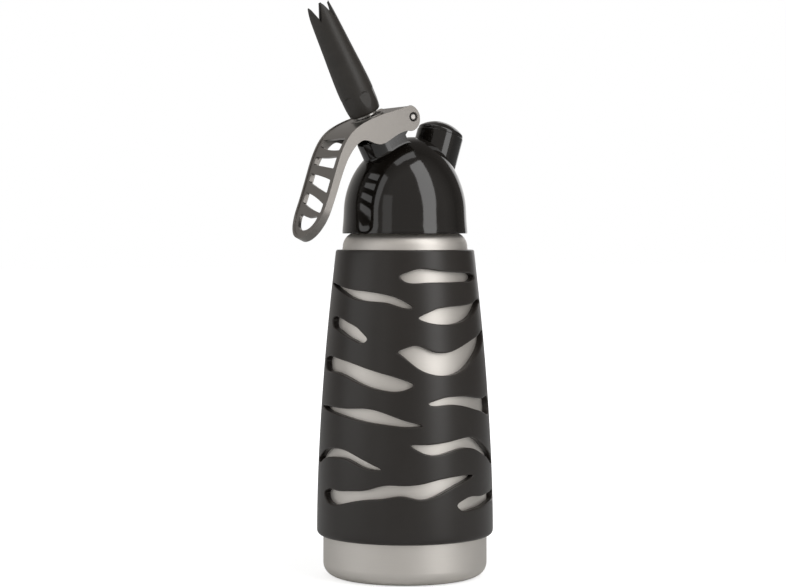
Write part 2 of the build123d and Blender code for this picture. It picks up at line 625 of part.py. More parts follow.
def tip_seal():
    low = FLANGE_TOP + GASKET_GAP
    return VALVE * tube(TIP_SEAL_R, SPIGOT_R + TIP_DEPTH + GASKET_GAP, low, low + TIP_SEAL_T)


# ---- lever ----
def shifted(points, depth):
    """Spline through points moved by depth to the left of the way they run."""
    line = Spline(*points)
    moved = []
    for point in points:
        share = line.param_at_point(point)
        tangent = line.tangent_at(share)
        moved.append((point[0] - tangent.Y * depth, point[1] + tangent.X * depth))
    return Spline(*moved)


def nose_cutter(inset):
    """Prism that keeps the lever's width and rounds the handle's end, inset from the rim."""
    half = LEVER_HALF - inset
    (x1, z1), (x0, z0) = RIM_LINE[-2], RIM_LINE[-1]
    run = math.hypot(x1 - x0, z1 - z0)
    across = ((z1 - z0) / run, 0, -(x1 - x0) / run)
    end = EllipticalCenterArc((0, TIP_NOSE), half, TIP_NOSE - inset, 180, arc_size=180)
    outline = end + Polyline(end @ 1, (half, 120), (-half, 120), end @ 0)
    plane = Plane((x0, 0, z0), x_dir=(0, 1, 0), z_dir=across)
    return extrude(plane * make_face(outline), 60, both=True)


def lever_side():
    """Side view of the lever as a face in the X-Z plane."""
    top = Spline(*RIM_LINE)
    edge = Spline(*PLATE_EDGE)
    outline = (top + Line(top @ 1, edge @ 1) + edge + ThreePointArc(edge @ 0, PLATE_NOSE_LOW, PLATE_NOSE)
               + ThreePointArc(PLATE_NOSE, PLATE_NOSE_TOP, top @ 0))
    return make_face(Plane.XZ * outline)


def above_web(half):
    """Room over the web, between the lips of the rim."""
    low = shifted(RIM_LINE, LIP)
    high = shifted(RIM_LINE, -3)
    start, end = (low % 0) * -6, (low % 1) * 6
    outline = (low + high + Polyline(low @ 0, low @ 0 + start, high @ 0 + start, high @ 0)
               + Polyline(low @ 1, low @ 1 + end, high @ 1 + end, high @ 1))
    return extrude(make_face(Plane.XZ * outline), half, both=True)


def under_web(half):
    """Room under the web, between the side plates."""
    line = shifted(RIM_LINE, LIP + WEB_T)
    start, end = line @ 0 - (line % 0) * 12, line @ 1 + (line % 1) * 12
    outline = line + Polyline(line @ 1, end, (20, end.Y), (20, start.Y), start, line @ 0)
    return extrude(make_face(Plane.XZ * outline), half, both=True)


def handle_plane():
    lean = math.radians(HANDLE_LEAN)
    origin = (HANDLE_TOP[0], 0, HANDLE_TOP[1])
    return Plane(origin, x_dir=(0, 1, 0), z_dir=(math.cos(lean), 0, -math.sin(lean)))


def opening_tool(upper, lower):
    half = HOLE_HALF_WIDTH
    top = Spline(*[(x, -s) for x, s in zip((-half, 0, half), upper)])
    low = Spline(*[(x, -s) for x, s in zip((-half, 0, half), lower)])
    face = make_face(top + low + Line(top @ 0, low @ 0) + Line(top @ 1, low @ 1))
    face = fillet(face.vertices(), HOLE_CORNER)
    return extrude(handle_plane() * face, 9, both=True)


def nose_opening_tool():
    face = make_face(Spline(*[(x, -s) for x, s in NOSE_OPENING], periodic=True))
    return extrude(handle_plane() * face, 9, both=True)


def lever():
    solid = extrude(lever_side(), LEVER_HALF, both=True) & nose_cutter(0)
    solid -= above_web(LEVER_HALF - LIP_WIDTH) & nose_cutter(LIP_WIDTH)
    solid -= under_web(CHANNEL_HALF) & nose_cutter(PLATE_T)
    under, slope = web_under()
    web = VALVE * Pos(0, 0, under) * Rot(0, -math.degrees(math.atan(slope)), 0)
    solid += web * tube(STEM_RING_R, STEM_RING_R - STEM_RING_WIDTH, WEB_T / 2, WEB_T + STEM_RING_T)
    for upper, lower in HANDLE_OPENINGS:
        solid -= opening_tool(upper, lower)
    solid -= nose_opening_tool()
    solid -= web * Pos(STEM_HOLE_SHIFT, 0, 0) * disc(STEM_HOLE_R, -WEB_T, 3 * WEB_T)
    boss_start = BOSS_R + LUG_GAP
    for side in (-1, 1):
        plane = Plane((PIVOT_X, 0, PIVOT_Z), x_dir=(1, 0, 0), z_dir=(0, side, 0))
        boss = extrude(plane.offset(boss_start) * Circle(PIN_BOSS_R), LEVER_HALF - boss_start - 0.5)
        solid += boss
        flare = plane.offset(LEVER_HALF - PIN_HOLE_FLARE) * Circle(PIN_R + STEM_FIT)
        solid -= extrude(plane.offset(0) * Circle(PIN_R + STEM_FIT), LEVER_HALF + 1)
        solid -= extrude(flare, PIN_HOLE_FLARE + 0.01, taper=-40)
    return solid


def pivot_pin():
    half = LEVER_HALF - PIN_RECESS
    pin = Plane.XZ * Pos(PIVOT_X, PIVOT_Z) * Circle(PIN_R)
    solid = extrude(pin, half, both=True)
    return fillet(solid.edges().filter_by(GeomType.CIRCLE), 0.6)


# ---- charger inlet ----
def inlet_fitting():
    seat = CAP_LOW - POCKET_GAP
    solid = disc(INLET_R, seat, INLET_TOP) + disc(INLET_FLANGE_R, seat, seat + INLET_FLANGE_T)
    solid += disc(SHANK_R, NUT_TOP, seat) + disc(NUT_THREAD_R, SHANK_END, NUT_TOP)
    solid = chamfer(solid.edges().group_by(Axis.Z)[-1], 0.5)
    start = seat + INLET_FLANGE_T + 0.8 * INLET_PITCH
    solid += thread(INLET_R, INLET_DEPTH, INLET_PITCH, INLET_TURNS, start)
    solid -= disc(CHARGER_BORE_R, CHARGER_BORE_END, INLET_TOP + 1)
    solid -= disc(GAS_BORE_R, SHANK_END - 1, CHARGER_BORE_END)
    return INLET * solid


def piercing_pin():
    low = CHARGER_BORE_END
    shoulder = low + PIERCER_T
    body = disc(CHARGER_BORE_R - FIT_GAP, low, shoulder)
    body += disc(GAS_BORE_R - FIT_GAP, low - PIERCER_TAIL, low)
    point = turned((0, shoulder), (NEEDLE_R, shoulder), (NEEDLE_R, NEEDLE_TOP - 2),
                   (NEEDLE_BORE_R, NEEDLE_TOP), (0, NEEDLE_TOP))
    return INLET * (body + point - disc(NEEDLE_BORE_R - 0.1, low - PIERCER_TAIL - 1, NEEDLE_TOP + 1))


def charger_seal():
    low = CHARGER_BORE_END + PIERCER_T + GASKET_GAP
    return INLET * tube(CHARGER_BORE_R - FIT_GAP, NEEDLE_R + FIT_GAP, low, low + CHARGER_SEAL_T)


def inlet_seal():
    height = CAP_LOW - POCKET_GAP - INLET_RING_WIRE_R
    return INLET * torus_at(INLET_RING_R, INLET_RING_WIRE_R - GASKET_GAP, height)


def check_valve():
    low = SHANK_END
    solid = disc(GAS_BORE_R - FIT_GAP, low, low + CHECK_VALVE_LENGTH)
    solid += Pos(0, 0, low) * Sphere(GAS_BORE_R - FIT_GAP) & disc(GAS_BORE_R, low - GAS_BORE_R, low + 1)
    solid -= disc(GAS_BORE_R / 2, low, low + CHECK_VALVE_LENGTH)
    return INLET * solid


def inlet_nut():
    ring = extrude(Pos(0, 0, NUT_TOP - NUT_T) * RegularPolygon(NUT_R, 6), NUT_T - GASKET_GAP)
    return INLET * (ring - disc(NUT_THREAD_R + GASKET_GAP, NUT_TOP - NUT_T - 1, NUT_TOP + 1))


def cap_outer():
    top = CAP_BAND_T + CAP_CROWN
    shell = disc(CAP_R, CAP_LOW, 0)
    shell = chamfer(shell.edges().group_by(Axis.Z)[-1], CAP_R - CAP_BAND_R)
    band_low = -0.1
    side = Line((CAP_BAND_R, band_low), (CAP_BAND_R, CAP_BAND_T))
    crown = RadiusArc(side @ 1, (0, top), -(CAP_BAND_R ** 2 + CAP_CROWN ** 2) / (2 * CAP_CROWN))
    outline = side + crown + Polyline(crown @ 1, (0, band_low), side @ 0)
    profile = make_face(outline)
    corner = profile.vertices().sort_by_distance((CAP_BAND_R, CAP_BAND_T))[0]
    return shell + revolve(Plane.XZ * fillet(corner, CAP_ROUND), Axis.Z)


def inlet_cap():
    seat = CAP_LOW - POCKET_GAP
    flange_top = seat + INLET_FLANGE_T
    bore = INLET_R + INLET_DEPTH + THREAD_GAP
    solid = cap_outer()
    solid -= disc(bore, CAP_LOW - 1, CAP_CEILING)
    solid -= disc(INLET_FLANGE_R + THREAD_GAP, CAP_LOW - 1, flange_top + THREAD_GAP)
    start = flange_top + 0.8 * INLET_PITCH
    return INLET * (solid + nut_thread(INLET_R, INLET_DEPTH, INLET_PITCH, INLET_TURNS, start))


def cap_seal():
    return INLET * tube(INLET_R + INLET_DEPTH + THREAD_GAP - FIT_GAP, CAP_SEAL_IN_R,
                        CAP_CEILING - GASKET_GAP - CAP_SEAL_T, CAP_CEILING - GASKET_GAP)


PIECES = [bottle, grip_sleeve, head_body, head_insert, head_gasket, valve_guide, stem_seals, guide_seal,
          valve_stem, valve_seal, stem_collar, return_spring, tip_adapter, decorator_tip, tip_seal, lever,
          pivot_pin, inlet_fitting, piercing_pin, charger_seal, inlet_seal, check_valve, inlet_nut,
          inlet_cap, cap_seal]

os.makedirs("parts", exist_ok=True)
for piece in PIECES:
    export_step(piece(), "parts/" + piece.__name__ + ".step")
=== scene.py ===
"""Whipped cream dispenser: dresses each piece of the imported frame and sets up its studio."""

import math

import bmesh
import bpy
import numpy as np
from bpy.props import (BoolProperty, FloatProperty, FloatVectorProperty, IntProperty,
                       PointerProperty)
from mathutils import Matrix, Vector
from mathutils.geometry import delaunay_2d_cdt


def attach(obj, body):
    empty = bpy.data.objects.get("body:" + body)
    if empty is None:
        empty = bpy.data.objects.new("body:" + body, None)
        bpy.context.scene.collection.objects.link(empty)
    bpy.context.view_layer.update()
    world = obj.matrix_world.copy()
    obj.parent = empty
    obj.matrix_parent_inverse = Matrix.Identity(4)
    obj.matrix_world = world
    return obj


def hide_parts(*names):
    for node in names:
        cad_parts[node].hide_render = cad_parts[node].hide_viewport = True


bl_info = {
    "name": "Whipped cream dispenser",
    "version": (1, 0, 0),
    "blender": (4, 5, 0),
    "location": "3D View > Sidebar > Dispenser",
    "description": "Builds the sleeve, lever, tip and finishes of a whipped cream dispenser",
    "category": "Object",
}

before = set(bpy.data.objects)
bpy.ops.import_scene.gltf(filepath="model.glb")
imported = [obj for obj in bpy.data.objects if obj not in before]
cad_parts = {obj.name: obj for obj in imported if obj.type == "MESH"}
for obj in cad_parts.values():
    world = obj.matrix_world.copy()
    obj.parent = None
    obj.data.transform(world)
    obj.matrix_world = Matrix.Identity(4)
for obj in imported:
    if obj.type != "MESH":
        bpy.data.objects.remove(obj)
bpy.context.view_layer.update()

MM = 0.001
FULL_TURN = 2 * math.pi
# points closer than this are welded: in a piece that is made here, and in a CAD node's copy
WELD, CAD_WELD = 1e-6, 2e-6

# base points and leans of the valve's and the inlet's axes, and the middle of the lever's pin
VALVE_BASE = (-0.0134, 0, 0.2176)
VALVE_LEAN = math.radians(27.3)
VALVE = Matrix.Translation(VALVE_BASE) @ Matrix.Rotation(-VALVE_LEAN, 4, "Y")
INLET_BASE = (0.0211, 0, 0.2271)
INLET_LEAN = math.radians(17)
PIN_CENTRE = (-0.0041, 0, 0.2345)

# colours that more than one setting starts from, or that have no setting
BLACK_GLOSS = (0.0068, 0.0055, 0.0044)
GASKET_BLACK = (0.03, 0.029, 0.028)
SEAL_BLACK = (0.035, 0.034, 0.033)
STEEL = (0.60, 0.59, 0.575)
PIN_STEEL = (0.5, 0.48, 0.46)


# ---- node trees written as expressions ----
def math_method(operation, swap=False):
    """Method that adds a Math node on its own number and those given, in turn or swapped."""
    def method(self, *others):
        terms = (self,) + others
        return self.board.math(operation, *(terms[::-1] if swap else terms))
    return method


class Amount:
    """A number on a node's socket; arithmetic on it adds Math nodes."""

    def __init__(self, board, socket):
        self.board = board
        self.socket = socket

    __add__ = __radd__ = math_method("ADD")
    __sub__ = math_method("SUBTRACT")
    __rsub__ = math_method("SUBTRACT", swap=True)
    __mul__ = math_method("MULTIPLY")
    __truediv__ = math_method("DIVIDE")
    __rtruediv__ = math_method("DIVIDE", swap=True)
    __pow__ = math_method("POWER")
    __mod__ = math_method("FLOORED_MODULO")
    __abs__ = math_method("ABSOLUTE")
    least = math_method("MINIMUM")
    most = math_method("MAXIMUM")
    over = math_method("GREATER_THAN")
    rounded = math_method("ROUND")
    sine = math_method("SINE")
    cosine = math_method("COSINE")

    def clamped(self):
        """Held between 0 and 1."""
        return self.most(0.0).least(1.0)


class Board:
    """Writes nodes into one tree."""

    def __init__(self, tree):
        self.tree = tree

    def add(self, kind, settings=None, inputs=None, output=0):
        """Adds a node; returns the Amount on one of its outputs, if it has any."""
        node = self.tree.nodes.new(kind)
        for name, value in (settings or {}).items():
            setattr(node, name, value)
        for key, value in (inputs or {}).items():
            if isinstance(value, Amount):
                self.tree.links.new(value.socket, node.inputs[key])
            else:
                node.inputs[key].default_value = value
        return Amount(self, node.outputs[output]) if len(node.outputs) else None

    def math(self, operation, *terms):
        """Adds a Math node on numbers and Amounts."""
        return self.add("ShaderNodeMath", {"operation": operation}, dict(enumerate(terms)))

    def vector(self, operation, *terms, output="Vector"):
        """Adds a Vector Math node; its output is a Vector or a Value."""
        return self.add("ShaderNodeVectorMath", {"operation": operation},
                        dict(enumerate(terms)), output)

    def place(self, kind="Object"):
        """Place on the piece, or another kind of texture coordinate."""
        return self.add("ShaderNodeTexCoord", output=kind)

    def noise(self, scale, detail=2.0, stretch=(1, 1, 1)):
        """Noise with scale cells per metre, times its stretch along each axis."""
        stretched = self.add("ShaderNodeMapping", {"vector_type": "POINT"},
                             {"Vector": self.place(), "Scale": stretch})
        return self.add("ShaderNodeTexNoise", {"noise_dimensions": "3D"},
                        {"Vector": stretched, "Scale": scale, "Detail": detail})

    def blend(self, share, first, second):
        return self.add("ShaderNodeMix", {"data_type": "RGBA"}, {0: share, 6: first, 7: second}, 2)

    def shade(self, share, color, first, second):
        """One colour, from its first to its second brightness."""
        return self.blend(share, tone(color, first), tone(color, second))

    def bump(self, height, distance, strength):
        return self.add("ShaderNodeBump", inputs={"Height": height, "Distance": distance,
                                                  "Strength": strength})

    def finish(self, color, roughness, normal, metallic=0.0, ior=1.5):
        """Principled shader wired to the output."""
        shader = self.add("ShaderNodeBsdfPrincipled", inputs={
            "Base Color": color, "Roughness": roughness, "Normal": normal, "Metallic": metallic,
            "IOR": ior})
        self.add("ShaderNodeOutputMaterial", inputs={"Surface": shader})


def new_finish(name):
    """Empty material and the board of its tree."""
    material = bpy.data.materials.new(name)
    material.use_nodes = True
    material.node_tree.nodes.clear()
    return material, Board(material.node_tree)


def tone(color, share=1.0):
    """Opaque colour, a share as bright."""
    return (color[0] * share, color[1] * share, color[2] * share, 1.0)


# ---- finishes ----
# SCALE is noise cells per metre, TINTS are a colour's least and greatest brightness, ROUGH is
# what a noise adds to the roughness, SMOOTHER is taken off it first, and BUMP is a noise's
# share of the bump's height.
SATIN_GRIT_SCALE = 5200.0
SATIN_PATCH_SCALE = 46.0
SATIN_TINTS = (0.94, 1.06)
SATIN_SMOOTHER = 0.07
SATIN_LINE_ROUGH = 0.06
SATIN_PATCH_ROUGH = 0.08
SATIN_LINE_BUMP, SATIN_GRIT_BUMP = 0.7, 0.3


def satin_metal(name, color, roughness, lines, line_scale):
    """Blasted or brushed metal: fine lines along one way, soft clouds and rubbed spots."""
    material, board = new_finish(name)
    fine = board.noise(line_scale, detail=3.0, stretch=lines)
    grit = board.noise(SATIN_GRIT_SCALE)
    patches = board.noise(SATIN_PATCH_SCALE, detail=3.0)
    uneven = fine * SATIN_LINE_ROUGH + patches * SATIN_PATCH_ROUGH
    board.finish(color=board.shade(fine * 0.5 + patches * 0.5, color, *SATIN_TINTS),
                 metallic=1.0,
                 roughness=uneven + (roughness - SATIN_SMOOTHER),
                 normal=board.bump(fine * SATIN_LINE_BUMP + grit * SATIN_GRIT_BUMP,
                                   distance=0.00002, strength=0.35))
    return material


TURNED_SMEAR_SCALE = 900.0
TURNED_RINGS = 9000.0       # radians of a ring's wave per metre along the axis
TURNED_WOBBLE = 3.0         # radians that smears shift a ring
TURNED_TINTS = (0.9, 1.08)
TURNED_SMEAR_ROUGH = 0.12


def turned_metal(name, color, roughness, centre=(0, 0, 0), lean=0.0):
    """Lathe-turned metal: faint rings around an axis through centre, upright after the lean."""
    material, board = new_finish(name)
    upright = board.add("ShaderNodeMapping", {"vector_type": "POINT"},
                        {"Vector": board.vector("SUBTRACT", board.place(), centre),
                         "Rotation": (0, lean, 0)})
    height = board.add("ShaderNodeSeparateXYZ", inputs={0: upright}, output="Z")
    smear = board.noise(TURNED_SMEAR_SCALE)
    rings = (height * TURNED_RINGS + smear * TURNED_WOBBLE).sine()
    board.finish(color=board.shade(smear, color, *TURNED_TINTS),
                 metallic=1.0,
                 roughness=smear * TURNED_SMEAR_ROUGH + roughness,
                 normal=board.bump(rings, distance=0.000008, strength=0.5))
    return material


PIN_UNSHADED_RADIUS = 0.001          # radius of the middle that keeps the steel's own colour
PIN_FADE = 0.0005           # width over which the painted shade darkens
PIN_RAGGED = 0.3            # how far smears shift that, in widths
# brightness of the painted shade at the pin's rim, standing for the shadow in the gap round its
# end
PIN_SHADE_TINT = 0.12
PIN_RIM_ROUGH = 0.2
PIN_SMEAR_ROUGH = 0.08


def pin_metal_with_painted_shade(name, color, roughness, centre):
    """Riveted pin along Y: the steel's own colour on the domed middle, and painted shade on a ring
    round it, standing for the shadow in the gap round the pin's end.
    """
    material, board = new_finish(name)
    aside = board.vector("MULTIPLY", board.vector("SUBTRACT", board.place(), centre), (1, 0, 1))
    reach = board.vector("LENGTH", aside, output="Value")
    smear = board.noise(TURNED_SMEAR_SCALE)
    # painted shade: the colour darkens outwards from the middle of the pin's end
    rim = ((reach - PIN_UNSHADED_RADIUS) / PIN_FADE + smear * PIN_RAGGED).clamped()
    board.finish(color=board.shade(rim, color, 1.0, PIN_SHADE_TINT),
                 metallic=1.0,
                 roughness=rim * PIN_RIM_ROUGH + roughness + smear * PIN_SMEAR_ROUGH,
                 normal=board.bump(smear, distance=0.00001, strength=0.5))
    return material


GLOSS_SWELL_SCALE = 55.0
GLOSS_HAZE_SCALE = 160.0
GLOSS_DUST_SCALE = 2600.0
GLOSS_DUST_POWER = 6.0      # a higher power leaves fewer specks
GLOSS_TINTS = (0.85, 1.3)
GLOSS_HAZE_ROUGH = 0.05
GLOSS_DUST_ROUGH = 0.1


def gloss_plastic(name, color, roughness):
    """Polished moulded plastic: shallow waviness, fine dust and rubbed haze."""
    material, board = new_finish(name)
    swell = board.noise(GLOSS_SWELL_SCALE, detail=1.0)
    haze = board.noise(GLOSS_HAZE_SCALE, detail=4.0)
    dust = board.noise(GLOSS_DUST_SCALE, detail=1.0) ** GLOSS_DUST_POWER
    board.finish(color=board.shade(haze, color, *GLOSS_TINTS),
                 roughness=haze * GLOSS_HAZE_ROUGH + roughness + dust * GLOSS_DUST_ROUGH,
                 ior=1.62,
                 normal=board.bump(swell, distance=0.00012, strength=0.05))
    return material


MOULDED_CLOUD_SCALE = 120.0
MOULDED_TINTS = (0.8, 1.25)
MOULDED_SMOOTHER = 0.05
MOULDED_GRAIN_ROUGH = 0.07
MOULDED_CLOUD_ROUGH = 0.06


def moulded_plastic(name, color, roughness, grain):
    """Satin moulded plastic with a fine spark-eroded grain."""
    material, board = new_finish(name)
    fine = board.noise(grain)
    cloud = board.noise(MOULDED_CLOUD_SCALE, detail=3.0)
    uneven = fine * MOULDED_GRAIN_ROUGH + cloud * MOULDED_CLOUD_ROUGH
    board.finish(color=board.shade(cloud, color, *MOULDED_TINTS),
                 roughness=uneven + (roughness - MOULDED_SMOOTHER),
                 normal=board.bump(fine, distance=0.00002, strength=0.5))
    return material


RUBBER_GRAIN_SCALE = 3400.0
RUBBER_BLOOM_SCALE = 38.0
RUBBER_TINTS = (0.82, 1.45)
RUBBER_BLOOM_TINT = 0.8     # how far bloom alone takes the colour towards its paler tint
RUBBER_SMOOTHER = 0.05
RUBBER_GRAIN_ROUGH = 0.08
RUBBER_BLOOM_ROUGH = 0.05
RUBBER_GRAIN_BUMP, RUBBER_BLOOM_BUMP = 0.8, 0.2


def soft_rubber(name, color, roughness, worn=None):
    """Moulded rubber: fine matt grain, faint bloom, paler where the worn attribute is high."""
    material, board = new_finish(name)
    fine = board.noise(RUBBER_GRAIN_SCALE, detail=3.0)
    bloom = board.noise(RUBBER_BLOOM_SCALE, detail=4.0)
    pale = bloom * RUBBER_BLOOM_TINT
    if worn:
        rim = board.add("ShaderNodeAttribute", {"attribute_name": worn}, output="Fac")
        pale = pale + rim * (fine * 0.5 + 0.5)
    uneven = fine * RUBBER_GRAIN_ROUGH + bloom * RUBBER_BLOOM_ROUGH
    board.finish(color=board.shade(pale.least(1.0), color, *RUBBER_TINTS),
                 roughness=uneven + (roughness - RUBBER_SMOOTHER),
                 normal=board.bump(fine * RUBBER_GRAIN_BUMP + bloom * RUBBER_BLOOM_BUMP,
                                   distance=0.00003, strength=0.45))
    return material


def wear(node, material):
    """Gives a CAD node its finish."""
    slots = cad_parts[node].material_slots
    if not slots:
        raise RuntimeError(f"{node} has no material slot")
    for slot in slots:
        slot.material = material


# ---- mesh helpers ----
def new_piece(name, vertices, faces):
    """Linked object with this mesh."""
    mesh = bpy.data.meshes.new(name)
    mesh.from_pydata([tuple(v) for v in vertices], [], [tuple(int(i) for i in f) for f in faces])
    mesh.validate()
    piece = bpy.data.objects.new(name, mesh)
    bpy.context.scene.collection.objects.link(piece)
    return piece


def tidy(piece, merge=WELD, outward=True):
    """Welds doubles, and points the faces outwards unless told not to."""
    work = bmesh.new()
    work.from_mesh(piece.data)
    bmesh.ops.remove_doubles(work, verts=work.verts, dist=merge)
    if outward:
        bmesh.ops.recalc_face_normals(work, faces=work.faces)
    work.to_mesh(piece.data)
    work.free()


def settle(piece):
    """Turns a piece's modifiers into its plain mesh."""
    bpy.context.view_layer.update()
    graph = bpy.context.evaluated_depsgraph_get()
    mesh = bpy.data.meshes.new_from_object(piece.evaluated_get(graph), depsgraph=graph)
    piece.modifiers.clear()
    old, piece.data = piece.data, mesh
    mesh.name = piece.name
    bpy.data.meshes.remove(old)


def copy_of(node, name):
    """Welded copy of a CAD node, free of its split normals."""
    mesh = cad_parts[node].data
    spots = np.empty(len(mesh.vertices) * 3)
    mesh.vertices.foreach_get("co", spots)
    corners = np.empty(len(mesh.loops), dtype=int)
    mesh.loops.foreach_get("vertex_index", corners)
    piece = new_piece(name, spots.reshape(-1, 3), corners.reshape(-1, 3))
    tidy(piece, CAD_WELD, outward=False)
    return piece


def dress(piece, material, body, node):
    """Finish, body, stand-in and slot of a finished piece."""
    piece.data.materials.clear()
    piece.data.materials.append(material)
    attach(piece, body)
    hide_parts(node)


# ---- grip sleeve ----
RIM_ANGLE = math.radians(40)    # the CAD sleeve's edges that turn more than this are rims
TOP_MARGIN = 0.0005             # depth under the upper edge where no cut-out ends
LEAST_RIM = 8                   # a rim has more points than this
CURVE_STEP = 0.125              # step between two points of a rim, on the smooth line
LEAST_STEPS = 12                # fewest steps round a rim
RIM_STEP = 0.6                  # step along a rim, in spacings
RIM_BORDER = 1.6                # distance from a rim to the skin round it, in rim roundings
RIM_CLEAR = 0.55                # least distance from there to a point of the skin, in spacings
SAME_PLACE = 1e-7
TINY = 1e-12                    # keeps a division from failing

# degrees round the rounded edges; round a rim, with how rubbed it is there
LOW_ARC = (0, 18, 36, 54, 72)
TOP_ARC = (0, 22, 45, 68, 90)
RIM_ARC = ((18, 1.0), (36, 1.0), (54, 1.0), (72, 1.0), (90, 0.4))
RUBBED_BESIDE = 0.3


def side_radius(sizes, z):
    """Outside radius of the bottle at heights between foot and shoulder."""
    share = np.clip((z - sizes.taper_low) / (sizes.taper_top - sizes.taper_low), 0, 1)
    return sizes.foot_radius - (sizes.foot_radius - sizes.top_radius) * share ** sizes.taper_power


def sleeve_radius(sizes, z):
    """Outside radius of the sleeve, with its rounded lower and upper edge."""
    radius = side_radius(sizes, z) + sizes.gap + sizes.wall
    low = np.clip((sizes.low + sizes.low_round - z) / sizes.low_round, 0, 1)
    top = np.clip((z - sizes.top + sizes.top_round) / sizes.top_round, 0, 1)
    radius -= sizes.low_round * (1 - np.sqrt(1 - low ** 2))
    return radius - sizes.top_round * (1 - np.sqrt(1 - top ** 2))


def cutout_rims(sizes):
    """Rims of the cut-outs on the sleeve's outside, each a closed list of (angle, height)."""
    piece = copy_of("grip_sleeve", "sleeve_rims")
    work = bmesh.new()
    work.from_mesh(piece.data)
    neighbours = {}
    for edge in work.edges:
        if len(edge.link_faces) != 2 or edge.calc_face_angle() < RIM_ANGLE:
            continue
        ends = [v.co for v in edge.verts]
        heights = np.array([v.z for v in ends])
        reach = np.array([math.hypot(v.x, v.y) for v in ends])
        middle = side_radius(sizes, heights) + sizes.gap + sizes.wall / 2
        if (reach < middle).any() or heights.max() > sizes.top - TOP_MARGIN:
            continue
        a, b = (v.index for v in edge.verts)
        neighbours.setdefault(a, []).append(b)
        neighbours.setdefault(b, []).append(a)
    spots = [v.co.copy() for v in work.verts]
    work.free()
    bpy.data.objects.remove(piece)
    rims = []
    while neighbours:
        start = next(iter(neighbours))
        loop, here = [start], neighbours.pop(start)[0]
        while here in neighbours:
            loop.append(here)
            ways = [n for n in neighbours.pop(here) if n in neighbours]
            if not ways:
                break
            here = ways[0]
        if len(loop) > LEAST_RIM:
            rims.append(np.array([(math.atan2(spots[i].y, spots[i].x), spots[i].z) for i in loop]))
    return rims


def even_loop(points, spacing):
    """Closed smooth line through points, at even steps."""
    steps = []
    for i in range(len(points)):
        a, b, c, d = (points[(i + k) % len(points)] for k in (-1, 0, 1, 2))
        for t in np.arange(0, 1, CURVE_STEP):
            steps.append(0.5 * (2 * b + (c - a) * t + (2 * a - 5 * b + 4 * c - d) * t ** 2
                                + (3 * b - a - 3 * c + d) * t ** 3))
    steps = np.array(steps)
    runs = np.linalg.norm(np.roll(steps, -1, 0) - steps, axis=1)
    along = np.concatenate([[0], np.cumsum(runs)])
    closed = np.vstack([steps, steps[:1]])
    count = max(LEAST_STEPS, int(along[-1] / spacing))
    places = np.linspace(0, along[-1], count, endpoint=False)
    return np.column_stack([np.interp(places, along, closed[:, k]) for k in (0, 1)])


def widened(loop, amount):
    """Loop moved outwards, away from the opening that it goes round."""
    before, after = np.roll(loop, 1, 0), np.roll(loop, -1, 0)
    way = after - before
    normal = np.column_stack([way[:, 1], -way[:, 0]])
    normal /= np.linalg.norm(normal, axis=1)[:, None] + TINY
    area = np.sum(loop[:, 0] * after[:, 1] - after[:, 0] * loop[:, 1])
    return loop + normal * amount * (1 if area > 0 else -1)


def inside(points, loop):
    """Which points lie inside a closed loop."""
    hit = np.zeros(len(points), dtype=bool)
    after = np.roll(loop, -1, 0)
    for (x0, y0), (x1, y1) in zip(loop, after):
        crosses = (y0 > points[:, 1]) != (y1 > points[:, 1])
        with np.errstate(divide="ignore", invalid="ignore"):
            at = (x1 - x0) * (points[:, 1] - y0) / (y1 - y0) + x0
        hit ^= crosses & (points[:, 0] < at)
    return hit


def unrolled_rims(sizes, seam):
    """Rims of the cut-outs laid flat, as even steps of (way round from the seam, height)."""
    rims = []
    for rim in cutout_rims(sizes):
        turn = np.unwrap(rim[:, 0])
        turn = turn - FULL_TURN * math.floor((turn.mean() - seam) / FULL_TURN) - seam
        flat = np.column_stack([turn * sizes.foot_radius, rim[:, 1]])
        rims.append(even_loop(flat, sizes.spacing * RIM_STEP))
    return rims


def skin_rows(sizes):
    """Heights of the skin's rows, close together round the lower and upper edge."""
    low = [sizes.low + sizes.low_round * (1 - math.cos(math.radians(a))) for a in LOW_ARC]
    side = np.arange(sizes.low + sizes.low_round, sizes.top - sizes.top_round, sizes.spacing)
    top = [sizes.top - sizes.top_round * (1 - math.sin(math.radians(a))) for a in TOP_ARC]
    return np.concatenate([low, side, top])


def flat_skin(sizes, rows, width, borders):
    """Flat skin with an opening inside each border: points, triangles, each border's points."""
    columns = np.linspace(0, width, int(width / sizes.spacing))
    grid = np.array([(x, z) for z in rows for x in columns])
    keep = np.ones(len(grid), dtype=bool)
    for loop in borders:
        near = np.min(np.linalg.norm(grid[:, None, :] - loop[None, ::2, :], axis=2), axis=1)
        keep &= (near > sizes.spacing * RIM_CLEAR) & ~inside(grid, loop)
    keep |= (grid[:, 0] < SAME_PLACE) | (grid[:, 0] > width - SAME_PLACE)
    points, ties, rings = [tuple(p) for p in grid[keep]], [], []
    for loop in borders:
        start, count = len(points), len(loop)
        points += [tuple(p) for p in loop]
        ties += [(start + i, start + (i + 1) % count) for i in range(count)]
        rings.append(range(start, start + count))
    done = delaunay_2d_cdt([Vector(p) for p in points], ties, [], 0, SAME_PLACE, True)
    flat = np.array([tuple(v) for v in done[0]])
    triangles = np.array([f for f in done[2] if len(f) == 3])
    centres = flat[triangles].mean(axis=1)
    solid = np.ones(len(triangles), dtype=bool)
    for loop in borders:
        solid &= ~inside(centres, loop)
    new_number = {old: new for new, olds in enumerate(done[3]) for old in olds}
    rings = [np.array([new_number[i] for i in ring]) for ring in rings]
    return flat, triangles[solid], rings


